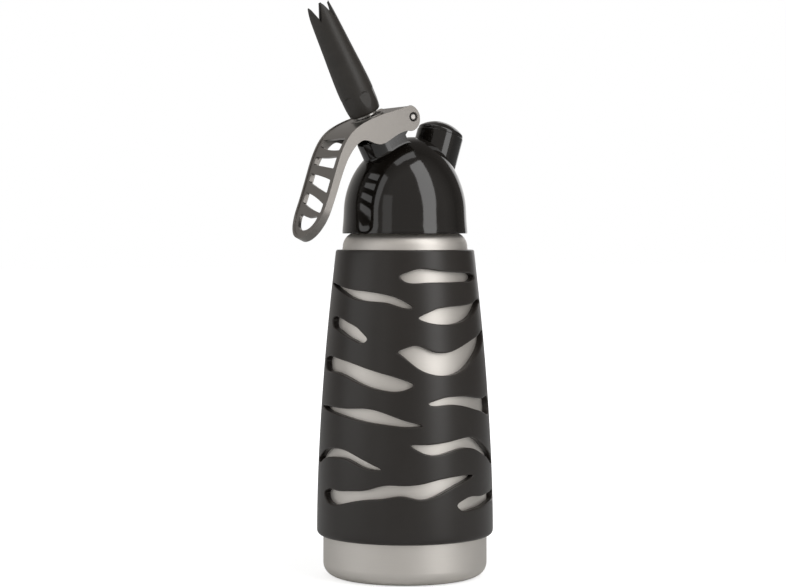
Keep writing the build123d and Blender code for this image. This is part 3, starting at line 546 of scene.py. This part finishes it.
def sleeve_mesh(sizes):
    """Sleeve with rounded rims: a skin unrolled round its openings, then wrapped."""
    seam = math.radians(sizes.seam)
    rims = unrolled_rims(sizes, seam)
    borders = [widened(rim, sizes.rim_round * RIM_BORDER) for rim in rims]
    rows = skin_rows(sizes)
    flat, triangles, rings = flat_skin(sizes, rows, FULL_TURN * sizes.foot_radius, borders)
    vertices, faces, rubbed = [], [], []

    def wrap(spots, depth, worn=0.0):
        """Bends flat points round the bottle at a depth in the rubber; returns their numbers."""
        turn = spots[:, 0] / sizes.foot_radius + seam
        radius = np.maximum(sleeve_radius(sizes, spots[:, 1]) - depth,
                            side_radius(sizes, spots[:, 1]) + sizes.gap)
        begin = len(vertices)
        vertices.extend(np.column_stack([radius * np.cos(turn), radius * np.sin(turn),
                                         spots[:, 1]]))
        rubbed.extend([worn] * len(spots))
        return np.arange(begin, begin + len(spots))

    skin = wrap(flat, 0.0)
    lining = wrap(flat, sizes.wall)
    faces += [tuple(skin[list(t)]) for t in triangles]
    faces += [tuple(lining[list(t)][::-1]) for t in triangles]
    for rim, ring in zip(rims, rings):
        stack = [skin[ring], wrap(widened(rim, sizes.rim_round), 0.0, RUBBED_BESIDE)]
        for degrees, worn in RIM_ARC:
            t = math.radians(degrees)
            stack.append(wrap(widened(rim, sizes.rim_round * (1 - math.sin(t))),
                              sizes.rim_round * (1 - math.cos(t)), worn))
        stack += [wrap(rim, sizes.wall / 2), wrap(rim, sizes.wall), lining[ring]]
        for near, far in zip(stack, stack[1:]):
            for i in range(len(rim)):
                k = (i + 1) % len(rim)
                faces.append((near[i], near[k], far[k], far[i]))
    for height in (rows[0], rows[-1]):
        line = np.flatnonzero(np.abs(flat[:, 1] - height) < SAME_PLACE)
        line = line[np.argsort(flat[line, 0])]
        faces += [(skin[a], skin[b], lining[b], lining[a]) for a, b in zip(line, line[1:])]
    return vertices, faces, rubbed


class SleeveSizes(bpy.types.PropertyGroup):
    """Sizes and colour of the grip sleeve"""
    foot_radius: FloatProperty(
        name="Bottle radius", description="Radius of the bottle at its foot",
        default=0.0421, unit="LENGTH", precision=4)
    top_radius: FloatProperty(
        name="Top radius", description="Radius of the bottle under its shoulder",
        default=0.032, unit="LENGTH", precision=4)
    taper_low: FloatProperty(
        name="Taper start", description="Height where the side starts to lean in",
        default=0.025, unit="LENGTH", precision=4)
    taper_top: FloatProperty(name="Taper end", description="Height of the shoulder",
                             default=0.1687, unit="LENGTH", precision=4)
    taper_power: FloatProperty(name="Taper power", description="How late the side leans in",
                               default=1.72)
    low: FloatProperty(name="Lower edge", description="Height of the sleeve's lower edge",
                       default=0.0212, unit="LENGTH", precision=4)
    top: FloatProperty(name="Upper edge", description="Height of the sleeve's upper edge",
                       default=0.1673, unit="LENGTH", precision=4)
    wall: FloatProperty(name="Wall", description="Thickness of the rubber", default=0.0032,
                        unit="LENGTH", precision=4)
    gap: FloatProperty(name="Gap", description="Gap between rubber and bottle", default=0.00005,
                       unit="LENGTH", precision=5)
    low_round: FloatProperty(name="Lower rounding", description="Rounding of the lower edge",
                             default=0.0024, unit="LENGTH", precision=4)
    top_round: FloatProperty(name="Upper rounding", description="Rounding of the upper edge",
                             default=0.0009, unit="LENGTH", precision=4)
    rim_round: FloatProperty(name="Rim rounding", description="Rounding of the cut-outs' rims",
                             default=0.0006, unit="LENGTH", precision=4)
    spacing: FloatProperty(name="Spacing", description="Size of the skin's triangles",
                           default=0.0016, unit="LENGTH", precision=4)
    seam: FloatProperty(name="Seam", description="Direction in degrees that no cut-out crosses",
                        default=145.0)
    color: FloatVectorProperty(name="Rubber", description="Colour of the rubber",
                               default=(0.0205, 0.0172, 0.0147), subtype="COLOR", min=0, max=1)


class DISPENSER_OT_sleeve(bpy.types.Operator):
    """Make the rubber sleeve with its wavy cut-outs"""
    bl_idname = "dispenser.sleeve"
    bl_label = "Grip sleeve"

    def execute(self, context):
        sizes = context.scene.dispenser_sleeve
        vertices, faces, rubbed = sleeve_mesh(sizes)
        piece = new_piece("cutout_sleeve", vertices, faces)
        marks = piece.data.attributes.new("rubbed", "FLOAT", "POINT")
        marks.data.foreach_set("value", rubbed)
        tidy(piece)
        piece.data.shade_smooth()
        piece.data.set_sharp_from_angle(angle=math.radians(50))
        rubber = soft_rubber("sleeve_rubber", sizes.color, roughness=0.34, worn="rubbed")
        dress(piece, rubber, "bottle", "grip_sleeve")
        return {"FINISHED"}


# ---- bottle ----
class BottleLook(bpy.types.PropertyGroup):
    """Look of the bottle"""
    color: FloatVectorProperty(name="Metal", description="Colour of the bottle's metal",
                               default=(0.77, 0.74, 0.70), subtype="COLOR", min=0, max=1)
    roughness: FloatProperty(name="Roughness", description="Roughness of its satin finish",
                             default=0.52, subtype="FACTOR", min=0, max=1)


class DISPENSER_OT_bottle(bpy.types.Operator):
    """Give the bottle its satin metal, brushed round and round"""
    bl_idname = "dispenser.bottle"
    bl_label = "Bottle"

    def execute(self, context):
        look = context.scene.dispenser_bottle
        wear("bottle", satin_metal("bottle_steel", look.color, look.roughness,
                                   lines=(1, 1, 60), line_scale=55.0))
        return {"FINISHED"}


# ---- head ----
class HeadLook(bpy.types.PropertyGroup):
    """Look of the head and its insert"""
    color: FloatVectorProperty(name="Plastic", description="Colour of the polished plastic",
                               default=BLACK_GLOSS, subtype="COLOR", min=0, max=1)
    roughness: FloatProperty(name="Roughness", description="Roughness of the polish",
                             default=0.06, subtype="FACTOR", min=0, max=1)
    insert_color: FloatVectorProperty(name="Insert", description="Colour of the metal insert",
                                      default=(0.52, 0.50, 0.48), subtype="COLOR", min=0, max=1)


class DISPENSER_OT_head(bpy.types.Operator):
    """Give the head, its insert and its gasket their finishes"""
    bl_idname = "dispenser.head"
    bl_label = "Head"

    def execute(self, context):
        look = context.scene.dispenser_head
        wear("head_body", gloss_plastic("head_plastic", look.color, look.roughness))
        wear("head_insert", turned_metal("insert_metal", look.insert_color, roughness=0.3))
        wear("head_gasket", soft_rubber("gasket_rubber", GASKET_BLACK, roughness=0.55))
        return {"FINISHED"}


# ---- lever ----
LEVER_FLAT = math.radians(0.6)      # faces that turn less than this are joined
LEVER_ANGLE = math.radians(38)      # edges that turn more than this are rounded
LEVER_SEGMENTS = 3                  # strips in a rounding


class LeverSizes(bpy.types.PropertyGroup):
    """Edges and look of the lever"""
    edge: FloatProperty(name="Edge rounding", description="Rounding of the lever's edges",
                        default=0.0006, unit="LENGTH", precision=5)
    color: FloatVectorProperty(name="Metal", description="Colour of the lever's satin metal",
                               default=(0.28, 0.264, 0.247), subtype="COLOR", min=0, max=1)
    roughness: FloatProperty(name="Roughness", description="Roughness of its satin finish",
                             default=0.36, subtype="FACTOR", min=0, max=1)


class DISPENSER_OT_lever(bpy.types.Operator):
    """Make the pressed metal lever with softened edges, and dress its pin"""
    bl_idname = "dispenser.lever"
    bl_label = "Lever"

    def execute(self, context):
        sizes = context.scene.dispenser_lever
        piece = copy_of("lever", "press_lever")
        work = bmesh.new()
        work.from_mesh(piece.data)
        bmesh.ops.dissolve_limit(work, angle_limit=LEVER_FLAT, verts=work.verts,
                                 edges=work.edges)
        work.to_mesh(piece.data)
        work.free()
        soften = piece.modifiers.new("edges", "BEVEL")
        soften.width = sizes.edge
        soften.segments = LEVER_SEGMENTS
        soften.limit_method = "ANGLE"
        soften.angle_limit = LEVER_ANGLE
        soften.use_clamp_overlap = True
        soften.miter_outer = "MITER_ARC"
        even = piece.modifiers.new("normals", "WEIGHTED_NORMAL")
        even.keep_sharp = True
        piece.data.shade_smooth()
        settle(piece)
        metal = satin_metal("lever_metal", sizes.color, sizes.roughness, lines=(30, 1, 1),
                            line_scale=60.0)
        dress(piece, metal, "lever", "lever")
        # the pin's finish carries painted shade on its rim
        wear("pivot_pin", pin_metal_with_painted_shade("pin_steel_painted_shade", PIN_STEEL, roughness=0.25, centre=PIN_CENTRE))
        return {"FINISHED"}


# ---- valve ----
class ValveLook(bpy.types.PropertyGroup):
    """Colours of the valve's pieces"""
    steel: FloatVectorProperty(name="Steel", description="Colour of the turned steel",
                               default=STEEL, subtype="COLOR", min=0, max=1)
    seal: FloatVectorProperty(name="Seals", description="Colour of the small seals",
                              default=SEAL_BLACK, subtype="COLOR", min=0, max=1)
    guide: FloatVectorProperty(name="Guide", description="Colour of the valve's plastic guide",
                               default=(0.72, 0.71, 0.67), subtype="COLOR", min=0, max=1)


class DISPENSER_OT_valve(bpy.types.Operator):
    """Dress the valve's stem, collar, spring, guide and seals"""
    bl_idname = "dispenser.valve"
    bl_label = "Valve"

    def execute(self, context):
        look = context.scene.dispenser_valve
        steel = turned_metal("valve_steel", look.steel, 0.18, VALVE_BASE, VALVE_LEAN)
        for node in ("valve_stem", "stem_collar", "tip_adapter"):
            wear(node, steel)
        wire = turned_metal("spring_wire", look.steel, 0.25, VALVE_BASE, VALVE_LEAN)
        wear("return_spring", wire)
        wear("valve_guide", moulded_plastic("guide_plastic", look.guide, 0.4, grain=2600.0))
        rubber = soft_rubber("seal_rubber", look.seal, roughness=0.5)
        for node in ("stem_seals", "guide_seal", "valve_seal", "tip_seal"):
            wear(node, rubber)
        return {"FINISHED"}


# ---- decorator tip ----
class TipSizes(bpy.types.PropertyGroup):
    """Sizes and colour of the decorator tip"""
    base: FloatProperty(name="Base", description="Height of the tip's base along the valve",
                        default=0.02125, unit="LENGTH", precision=5)
    length: FloatProperty(name="Length", description="Length of the tip", default=0.0598,
                          unit="LENGTH", precision=4)
    wall: FloatProperty(name="Wall", description="Wall of the tip", default=0.0016,
                        unit="LENGTH", precision=4)
    prongs: IntProperty(name="Prongs", description="Number of prongs at the mouth",
                        default=5, min=3)
    prong_length: FloatProperty(
        name="Prong length", description="Depth of the notches between them",
        default=0.0082, unit="LENGTH", precision=4)
    turn: FloatProperty(name="Turn", description="Direction of the first prong",
                        default=math.radians(-96), subtype="ANGLE")
    flats: IntProperty(name="Grip flats", description="Number of flats for the fingers",
                       default=6, min=3)
    flat_distance: FloatProperty(
        name="Flat distance", description="Distance of a flat from the axis",
        default=0.0084, unit="LENGTH", precision=5)
    flat_top: FloatProperty(name="Flat top", description="Height of the arch over a flat",
                            default=0.0116, unit="LENGTH", precision=4)
    color: FloatVectorProperty(name="Plastic", description="Colour of the tip's plastic",
                               default=(0.0285, 0.0246, 0.0205), subtype="COLOR", min=0, max=1)


# the tip's tree works in millimetres; its outline holds heights above the base and radii there
TIP_OUTLINE = ((0.7, 8.0), (15.0, 8.85), (34.0, 7.8), (51.6, 6.7), (59.8, 5.9))
TIP_AROUND = 361            # points round the tip
OUT_ROWS, IN_ROWS = 150, 60
TURNS_ADDED = 20 * FULL_TURN        # keeps an angle above zero
PRONG_POINT = 0.5           # width left at a prong's point
MOUTH_OUT_R, MOUTH_IN_R = 6.4, 4.9  # radii where the mouth's slopes are worked out
ARCH_FALL = 0.16            # how fast the arch over a flat falls away from its middle
ARCH_EDGE = 2.6             # how sharply a flat ends there
BORE_BEND, BORE_BEND_R = 15.0, 5.65
BORE_SLOPES = (0.029, 0.14)         # above and below the bend
BORE_LEAST_R = 4.85
SEAT_TOP, SEAT_R = 1.4, 5.8         # the seal's seat at the tip's base
LEAST_TIP_FACES = 1000


def outline_terms():
    """Numbers of the smooth line through TIP_OUTLINE, highest power first."""
    heights, radii = zip(*TIP_OUTLINE)
    return [float(c) for c in np.polyfit(heights, radii, len(TIP_OUTLINE) - 1)]


def tip_inputs(board, sizes, material):
    """Adds the tree's inputs: an Amount for each name, and each socket's value."""
    ports = (("Length", "Float", sizes.length / MM),
             ("Wall", "Float", sizes.wall / MM),
             ("Prong Length", "Float", sizes.prong_length / MM),
             ("Prongs", "Int", sizes.prongs),
             ("Turn", "Float", sizes.turn),
             ("Flats", "Int", sizes.flats),
             ("Flat Distance", "Float", sizes.flat_distance / MM),
             ("Flat Top", "Float", sizes.flat_top / MM),
             ("Around", "Int", TIP_AROUND),
             ("Material", "Material", material))
    values = {}
    for name, kind, value in ports:
        socket = board.tree.interface.new_socket(name, in_out="INPUT",
                                                 socket_type="NodeSocket" + kind)
        values[socket.identifier] = value
    entry = board.tree.nodes.new("NodeGroupInput")
    return {name: Amount(board, entry.outputs[name]) for name, _, _ in ports}, values


def tip_tree(sizes, material):
    """Tree that bends a grid into the tip: grip flats below, prongs above, bore inside."""
    tree = bpy.data.node_groups.new("decorator_tip_shape", "GeometryNodeTree")
    board = Board(tree)
    size, values = tip_inputs(board, sizes, material)
    tree.interface.new_socket("Geometry", in_out="OUTPUT", socket_type="NodeSocketGeometry")

    rows = OUT_ROWS + IN_ROWS
    grid = board.add("GeometryNodeMeshGrid", inputs={
        "Size X": 1.0, "Size Y": 1.0, "Vertices X": size["Around"], "Vertices Y": rows + 1})
    spot = board.add("GeometryNodeInputPosition")
    across = board.add("ShaderNodeSeparateXYZ", inputs={0: spot}, output="X")
    along = board.add("ShaderNodeSeparateXYZ", inputs={0: spot}, output="Y")
    angle = (across + 0.5) * FULL_TURN
    row = ((along + 0.5) * rows).rounded() % rows
    within = row.over(OUT_ROWS - 0.5)
    rise = (row / (OUT_ROWS - 1)).least(1.0)
    fall = ((row - OUT_ROWS) / (IN_ROWS - 1)).most(0.0)

    def wedge(count, shift):
        """Angle to the nearest of count equal directions, moved on by a share of a step."""
        step = FULL_TURN / count
        shifted = angle - size["Turn"] + TURNS_ADDED + step * shift
        return abs((shifted + step * 0.5) % step - step * 0.5)

    notch = wedge(size["Prongs"], 0.5)
    flat = wedge(size["Flats"], 0.0)
    end_half = TIP_OUTLINE[-1][1] * math.sin(math.pi / sizes.prongs) - PRONG_POINT / 2

    def mouth(radius):
        """Height where the wall of this radius ends: the notches' slopes, cut level on top."""
        slope = size["Prong Length"] * radius * notch.sine() / end_half
        return (size["Length"] - size["Prong Length"] + slope).least(size["Length"])

    def outside(height):
        """Outside radius without the flats, bevelled at the base."""
        total, *terms = outline_terms()
        for term in terms:
            total = height * total + term
        return total.least(height + TIP_OUTLINE[0][1] - TIP_OUTLINE[0][0])

    height_out = rise * mouth(MOUTH_OUT_R)
    plain = outside(height_out)
    face = size["Flat Distance"] / flat.cosine()
    aside = plain * flat.sine()
    arch = size["Flat Top"] - aside * aside * ARCH_FALL
    pressed = ((arch - height_out) * ARCH_EDGE + 0.5).clamped()
    radius_out = plain - (plain - face).most(0.0) * pressed

    top_in = mouth(MOUTH_IN_R)
    height_in = top_in - top_in * fall
    bore = outside(height_in) - size["Wall"]
    for slope in BORE_SLOPES:
        bore = bore.least((height_in - BORE_BEND) * slope + BORE_BEND_R)
    seat = 1.0 - height_in.over(SEAT_TOP)
    radius_in = bore.most(BORE_LEAST_R).most(seat * SEAT_R)

    radius = radius_out + (radius_in - radius_out) * within
    height = height_out + (height_in - height_out) * within
    moved = board.add("ShaderNodeCombineXYZ", inputs={
        "X": radius * angle.cosine() * MM, "Y": radius * angle.sine() * MM,
        "Z": height * MM + sizes.base})
    shape = grid
    for kind, inputs in (("SetPosition", {"Position": moved}),
                         ("MergeByDistance", {"Distance": WELD}),
                         ("SetShadeSmooth", {"Shade Smooth": True}),
                         ("RealizeInstances", {}),
                         ("SetMaterial", {"Material": size["Material"]})):
        shape = board.add("GeometryNode" + kind, inputs={"Geometry": shape, **inputs})
    board.add("NodeGroupOutput", inputs={"Geometry": shape})
    return tree, values


class DISPENSER_OT_tip(bpy.types.Operator):
    """Make the decorator tip: grip flats at its base and prongs round its mouth"""
    bl_idname = "dispenser.tip"
    bl_label = "Decorator tip"

    def execute(self, context):
        sizes = context.scene.dispenser_tip
        plastic = moulded_plastic("tip_plastic", sizes.color, roughness=0.42, grain=2400.0)
        tree, values = tip_tree(sizes, plastic)
        piece = new_piece("toothed_tip", [(0, 0, 0)], [])
        shape = piece.modifiers.new("shape", "NODES")
        shape.node_group = tree
        for identifier, value in values.items():
            shape[identifier] = value
        settle(piece)
        if len(piece.data.polygons) < LEAST_TIP_FACES:
            raise RuntimeError("the tip's tree made no mesh")
        tidy(piece)
        piece.data.transform(VALVE)
        piece.data.shade_smooth()
        piece.data.set_sharp_from_angle(angle=math.radians(40))
        dress(piece, plastic, "tip", "decorator_tip")
        return {"FINISHED"}


# ---- charger inlet ----
class InletLook(bpy.types.PropertyGroup):
    """Look of the inlet's cap"""
    color: FloatVectorProperty(name="Cap", description="Colour of the inlet's cap",
                               default=BLACK_GLOSS, subtype="COLOR", min=0, max=1)


class DISPENSER_OT_inlet(bpy.types.Operator):
    """Dress the charger inlet and its cap"""
    bl_idname = "dispenser.inlet"
    bl_label = "Charger inlet"

    def execute(self, context):
        look = context.scene.dispenser_inlet
        wear("inlet_cap", gloss_plastic("cap_plastic", look.color, roughness=0.08))
        steel = turned_metal("inlet_steel", STEEL, 0.2, INLET_BASE, -INLET_LEAN)
        for node in ("inlet_fitting", "piercing_pin", "inlet_nut"):
            wear(node, steel)
        rubber = soft_rubber("inlet_rubber", SEAL_BLACK, roughness=0.5)
        for node in ("charger_seal", "inlet_seal", "check_valve", "cap_seal"):
            wear(node, rubber)
        return {"FINISHED"}


# ---- stage ----
class StageSettings(bpy.types.PropertyGroup):
    """Floor and camera"""
    floor: FloatVectorProperty(name="Floor", description="Colour of the floor",
                               default=(0.66, 0.66, 0.655), subtype="COLOR", min=0, max=1)
    distance: FloatProperty(name="Distance",
                            description="Camera's distance from the bottle's axis",
                            default=1.03, unit="LENGTH")
    height: FloatProperty(name="Height", description="Height of the camera", default=0.1743,
                          unit="LENGTH", precision=4)
    azimuth: FloatProperty(name="Azimuth", description="Camera's turn around the bottle",
                           default=math.radians(-30), subtype="ANGLE")
    aim: FloatProperty(name="Aim", description="Camera's turn away from the bottle's axis",
                       default=math.radians(0.343), subtype="ANGLE")
    pitch: FloatProperty(name="Pitch", description="Camera's downward tilt",
                         default=math.radians(1.643), subtype="ANGLE")
    lens: FloatProperty(name="Lens", description="Focal length", default=91.79, unit="CAMERA")
    show_floor: BoolProperty(name="Floor", description="Add the floor", default=True)


# name, azimuth from the camera in degrees, distance, height, width, tall, brightness
LAMPS = (("key_panel", 47, 1.10, 0.80, 0.62, 2.20, 2.25),
         ("left_panel", -72, 1.15, 0.55, 0.95, 1.50, 0.85),
         ("left_strip", -33, 1.30, 0.30, 0.40, 0.90, 0.4),
         ("back_panel", 160, 1.30, 0.55, 0.70, 0.90, 0.9))
LAMP_AIM = Vector((0, 0, 0.16))
TOP_PLACE, TOP_WIDTH, TOP_LEVEL = (-0.1, 0.15, 1.4), 0.7, 1.1
SENSOR_WIDTH = 36.0

# the room's light, and what gloss mirrors to the sides, ahead of the dispenser and behind it
ROOM_GREY, ROOM_LEVEL = (0.9, 0.9, 0.9), 0.42
MIRROR_SIDES = (0.13, 0.123, 0.116)
MIRROR_AHEAD = (0.38, 0.362, 0.344)
MIRROR_BEHIND = (0.58, 0.56, 0.54)
BEHIND_WAY = (0.15, 0.98, 0.0)
MIRROR_FADE = 2.0           # how fast one changes into the next as the direction turns
BEHIND_START = 1.1          # how late the light behind begins
WHITE = (1, 1, 1)

FLOOR_HALF = 9              # half the floor's width
FLOOR_HEIGHT = -0.0002      # just under the foot
FLOOR_SPECK_SCALE = 14.0
FLOOR_TINTS = (0.99, 1.01)
GLOW_NEAR = 0.08            # radius of the floor's least glow
GLOW_FADE = 0.45            # width over which it grows to white
GLOW_LEAST = 0.66


def studio_world():
    """White to the camera, an even room for matt pieces, and a darker one for gloss."""
    world = bpy.data.worlds.new("studio")
    bpy.context.scene.world = world
    world.use_nodes = True
    world.node_tree.nodes.clear()
    board = Board(world.node_tree)

    def background(color, strength=1.0):
        return board.add("ShaderNodeBackground", inputs={"Color": color, "Strength": strength})

    camera, glossy, through = (board.add("ShaderNodeLightPath", output=f"Is {ray} Ray")
                               for ray in ("Camera", "Glossy", "Transmission"))
    along = board.vector("DOT_PRODUCT", board.place("Generated"), BEHIND_WAY, output="Value")
    ahead = (along * -MIRROR_FADE).clamped()
    behind = (along * MIRROR_FADE - BEHIND_START).clamped()
    mirrored = board.blend(ahead, tone(MIRROR_SIDES), tone(MIRROR_AHEAD))
    mirrored = board.blend(behind, mirrored, tone(MIRROR_BEHIND))
    seen = board.add("ShaderNodeMixShader", inputs={
        0: glossy.most(through), 1: background(tone(ROOM_GREY), ROOM_LEVEL),
        2: background(mirrored)})
    seen = board.add("ShaderNodeMixShader", inputs={
        0: camera, 1: seen, 2: background(tone(WHITE))})
    board.add("ShaderNodeOutputWorld", inputs={"Surface": seen})


def floor_material(color):
    """Matt floor that the camera sees fade to white away from the dispenser."""
    material, board = new_finish("studio_floor")
    camera = board.add("ShaderNodeLightPath", output="Is Camera Ray")
    speck = board.noise(FLOOR_SPECK_SCALE, detail=3.0)
    matt = board.add("ShaderNodeBsdfDiffuse", inputs={
        "Color": board.shade(speck, color, *FLOOR_TINTS)})
    reach = board.vector("LENGTH", board.place(), output="Value")
    away = ((reach - GLOW_NEAR) / GLOW_FADE).clamped()
    glow = board.add("ShaderNodeEmission", inputs={
        "Color": board.shade(away, WHITE, GLOW_LEAST, 1.0), "Strength": 1.0})
    lit = board.add("ShaderNodeAddShader", inputs={0: matt, 1: glow})
    board.add("ShaderNodeOutputMaterial", inputs={
        "Surface": board.add("ShaderNodeMixShader", inputs={0: camera, 1: matt, 2: lit})})
    return material


def add_lamp(name, place, width, tall, level):
    """Flat lamp that looks as bright at any size; it points down until it is turned."""
    light = bpy.data.lights.new(name, "AREA")
    light.shape = "RECTANGLE"
    light.size, light.size_y = width, tall
    light.energy = level * math.pi * width * tall
    lamp = bpy.data.objects.new(name, light)
    lamp.location = place
    bpy.context.scene.collection.objects.link(lamp)
    return lamp


class DISPENSER_OT_stage(bpy.types.Operator):
    """Set up the floor, lamps, background and camera"""
    bl_idname = "dispenser.stage"
    bl_label = "Stage"

    def execute(self, context):
        stage = context.scene.dispenser_stage
        away = Vector((math.sin(stage.azimuth), -math.cos(stage.azimuth), 0))
        aside = Vector((math.cos(stage.azimuth), math.sin(stage.azimuth), 0))
        if stage.show_floor:
            corners = ((-1, -1), (1, -1), (1, 1), (-1, 1))
            floor = new_piece("floor", [(x * FLOOR_HALF, y * FLOOR_HALF, FLOOR_HEIGHT)
                                        for x, y in corners], [(0, 1, 2, 3)])
            floor.data.materials.append(floor_material(stage.floor))
        for name, turn, distance, height, width, tall, level in LAMPS:
            turn = math.radians(turn)
            place = (away * math.cos(turn) + aside * math.sin(turn)) * distance
            place.z = height
            lamp = add_lamp(name, place, width, tall, level)
            lamp.rotation_euler = (LAMP_AIM - place).to_track_quat("-Z", "Y").to_euler()
        add_lamp("top_panel", TOP_PLACE, TOP_WIDTH, TOP_WIDTH, TOP_LEVEL)
        studio_world()
        lens = bpy.data.cameras.new("camera")
        lens.lens = stage.lens
        lens.sensor_width = SENSOR_WIDTH
        camera = bpy.data.objects.new("camera", lens)
        camera.location = away * stage.distance + Vector((0, 0, stage.height))
        camera.rotation_euler = (math.pi / 2 - stage.pitch, 0, stage.azimuth + stage.aim)
        context.scene.collection.objects.link(camera)
        context.scene.camera = camera
        context.scene.view_settings.view_transform = "Standard"
        return {"FINISHED"}


STEPS = (DISPENSER_OT_bottle, DISPENSER_OT_sleeve, DISPENSER_OT_head, DISPENSER_OT_lever,
         DISPENSER_OT_valve, DISPENSER_OT_tip, DISPENSER_OT_inlet, DISPENSER_OT_stage)
GROUPS = {"dispenser_bottle": BottleLook, "dispenser_sleeve": SleeveSizes,
          "dispenser_head": HeadLook, "dispenser_lever": LeverSizes,
          "dispenser_valve": ValveLook, "dispenser_tip": TipSizes,
          "dispenser_inlet": InletLook, "dispenser_stage": StageSettings}


class DISPENSER_PT_panel(bpy.types.Panel):
    """Lists the dispenser's pieces in the order they are made"""
    bl_label = "Whipped cream dispenser"
    bl_idname = "DISPENSER_PT_panel"
    bl_space_type = "VIEW_3D"
    bl_region_type = "UI"
    bl_category = "Dispenser"

    def draw(self, context):
        for step in STEPS:
            self.layout.operator(step.bl_idname)


def register():
    """Adds the classes and the scene's settings"""
    for group in GROUPS.values():
        bpy.utils.register_class(group)
    for step in STEPS + (DISPENSER_PT_panel,):
        bpy.utils.register_class(step)
    for name, group in GROUPS.items():
        setattr(bpy.types.Scene, name, PointerProperty(type=group))


def unregister():
    """Takes them away again"""
    for name in GROUPS:
        delattr(bpy.types.Scene, name)
    for step in (DISPENSER_PT_panel,) + STEPS[::-1]:
        bpy.utils.unregister_class(step)
    for group in reversed(GROUPS.values()):
        bpy.utils.unregister_class(group)


def main():
    """Makes every piece and the stage"""
    register()
    for step in STEPS:
        group, name = step.bl_idname.split(".")
        getattr(getattr(bpy.ops, group), name)()


if __name__ == "__main__":
    main()
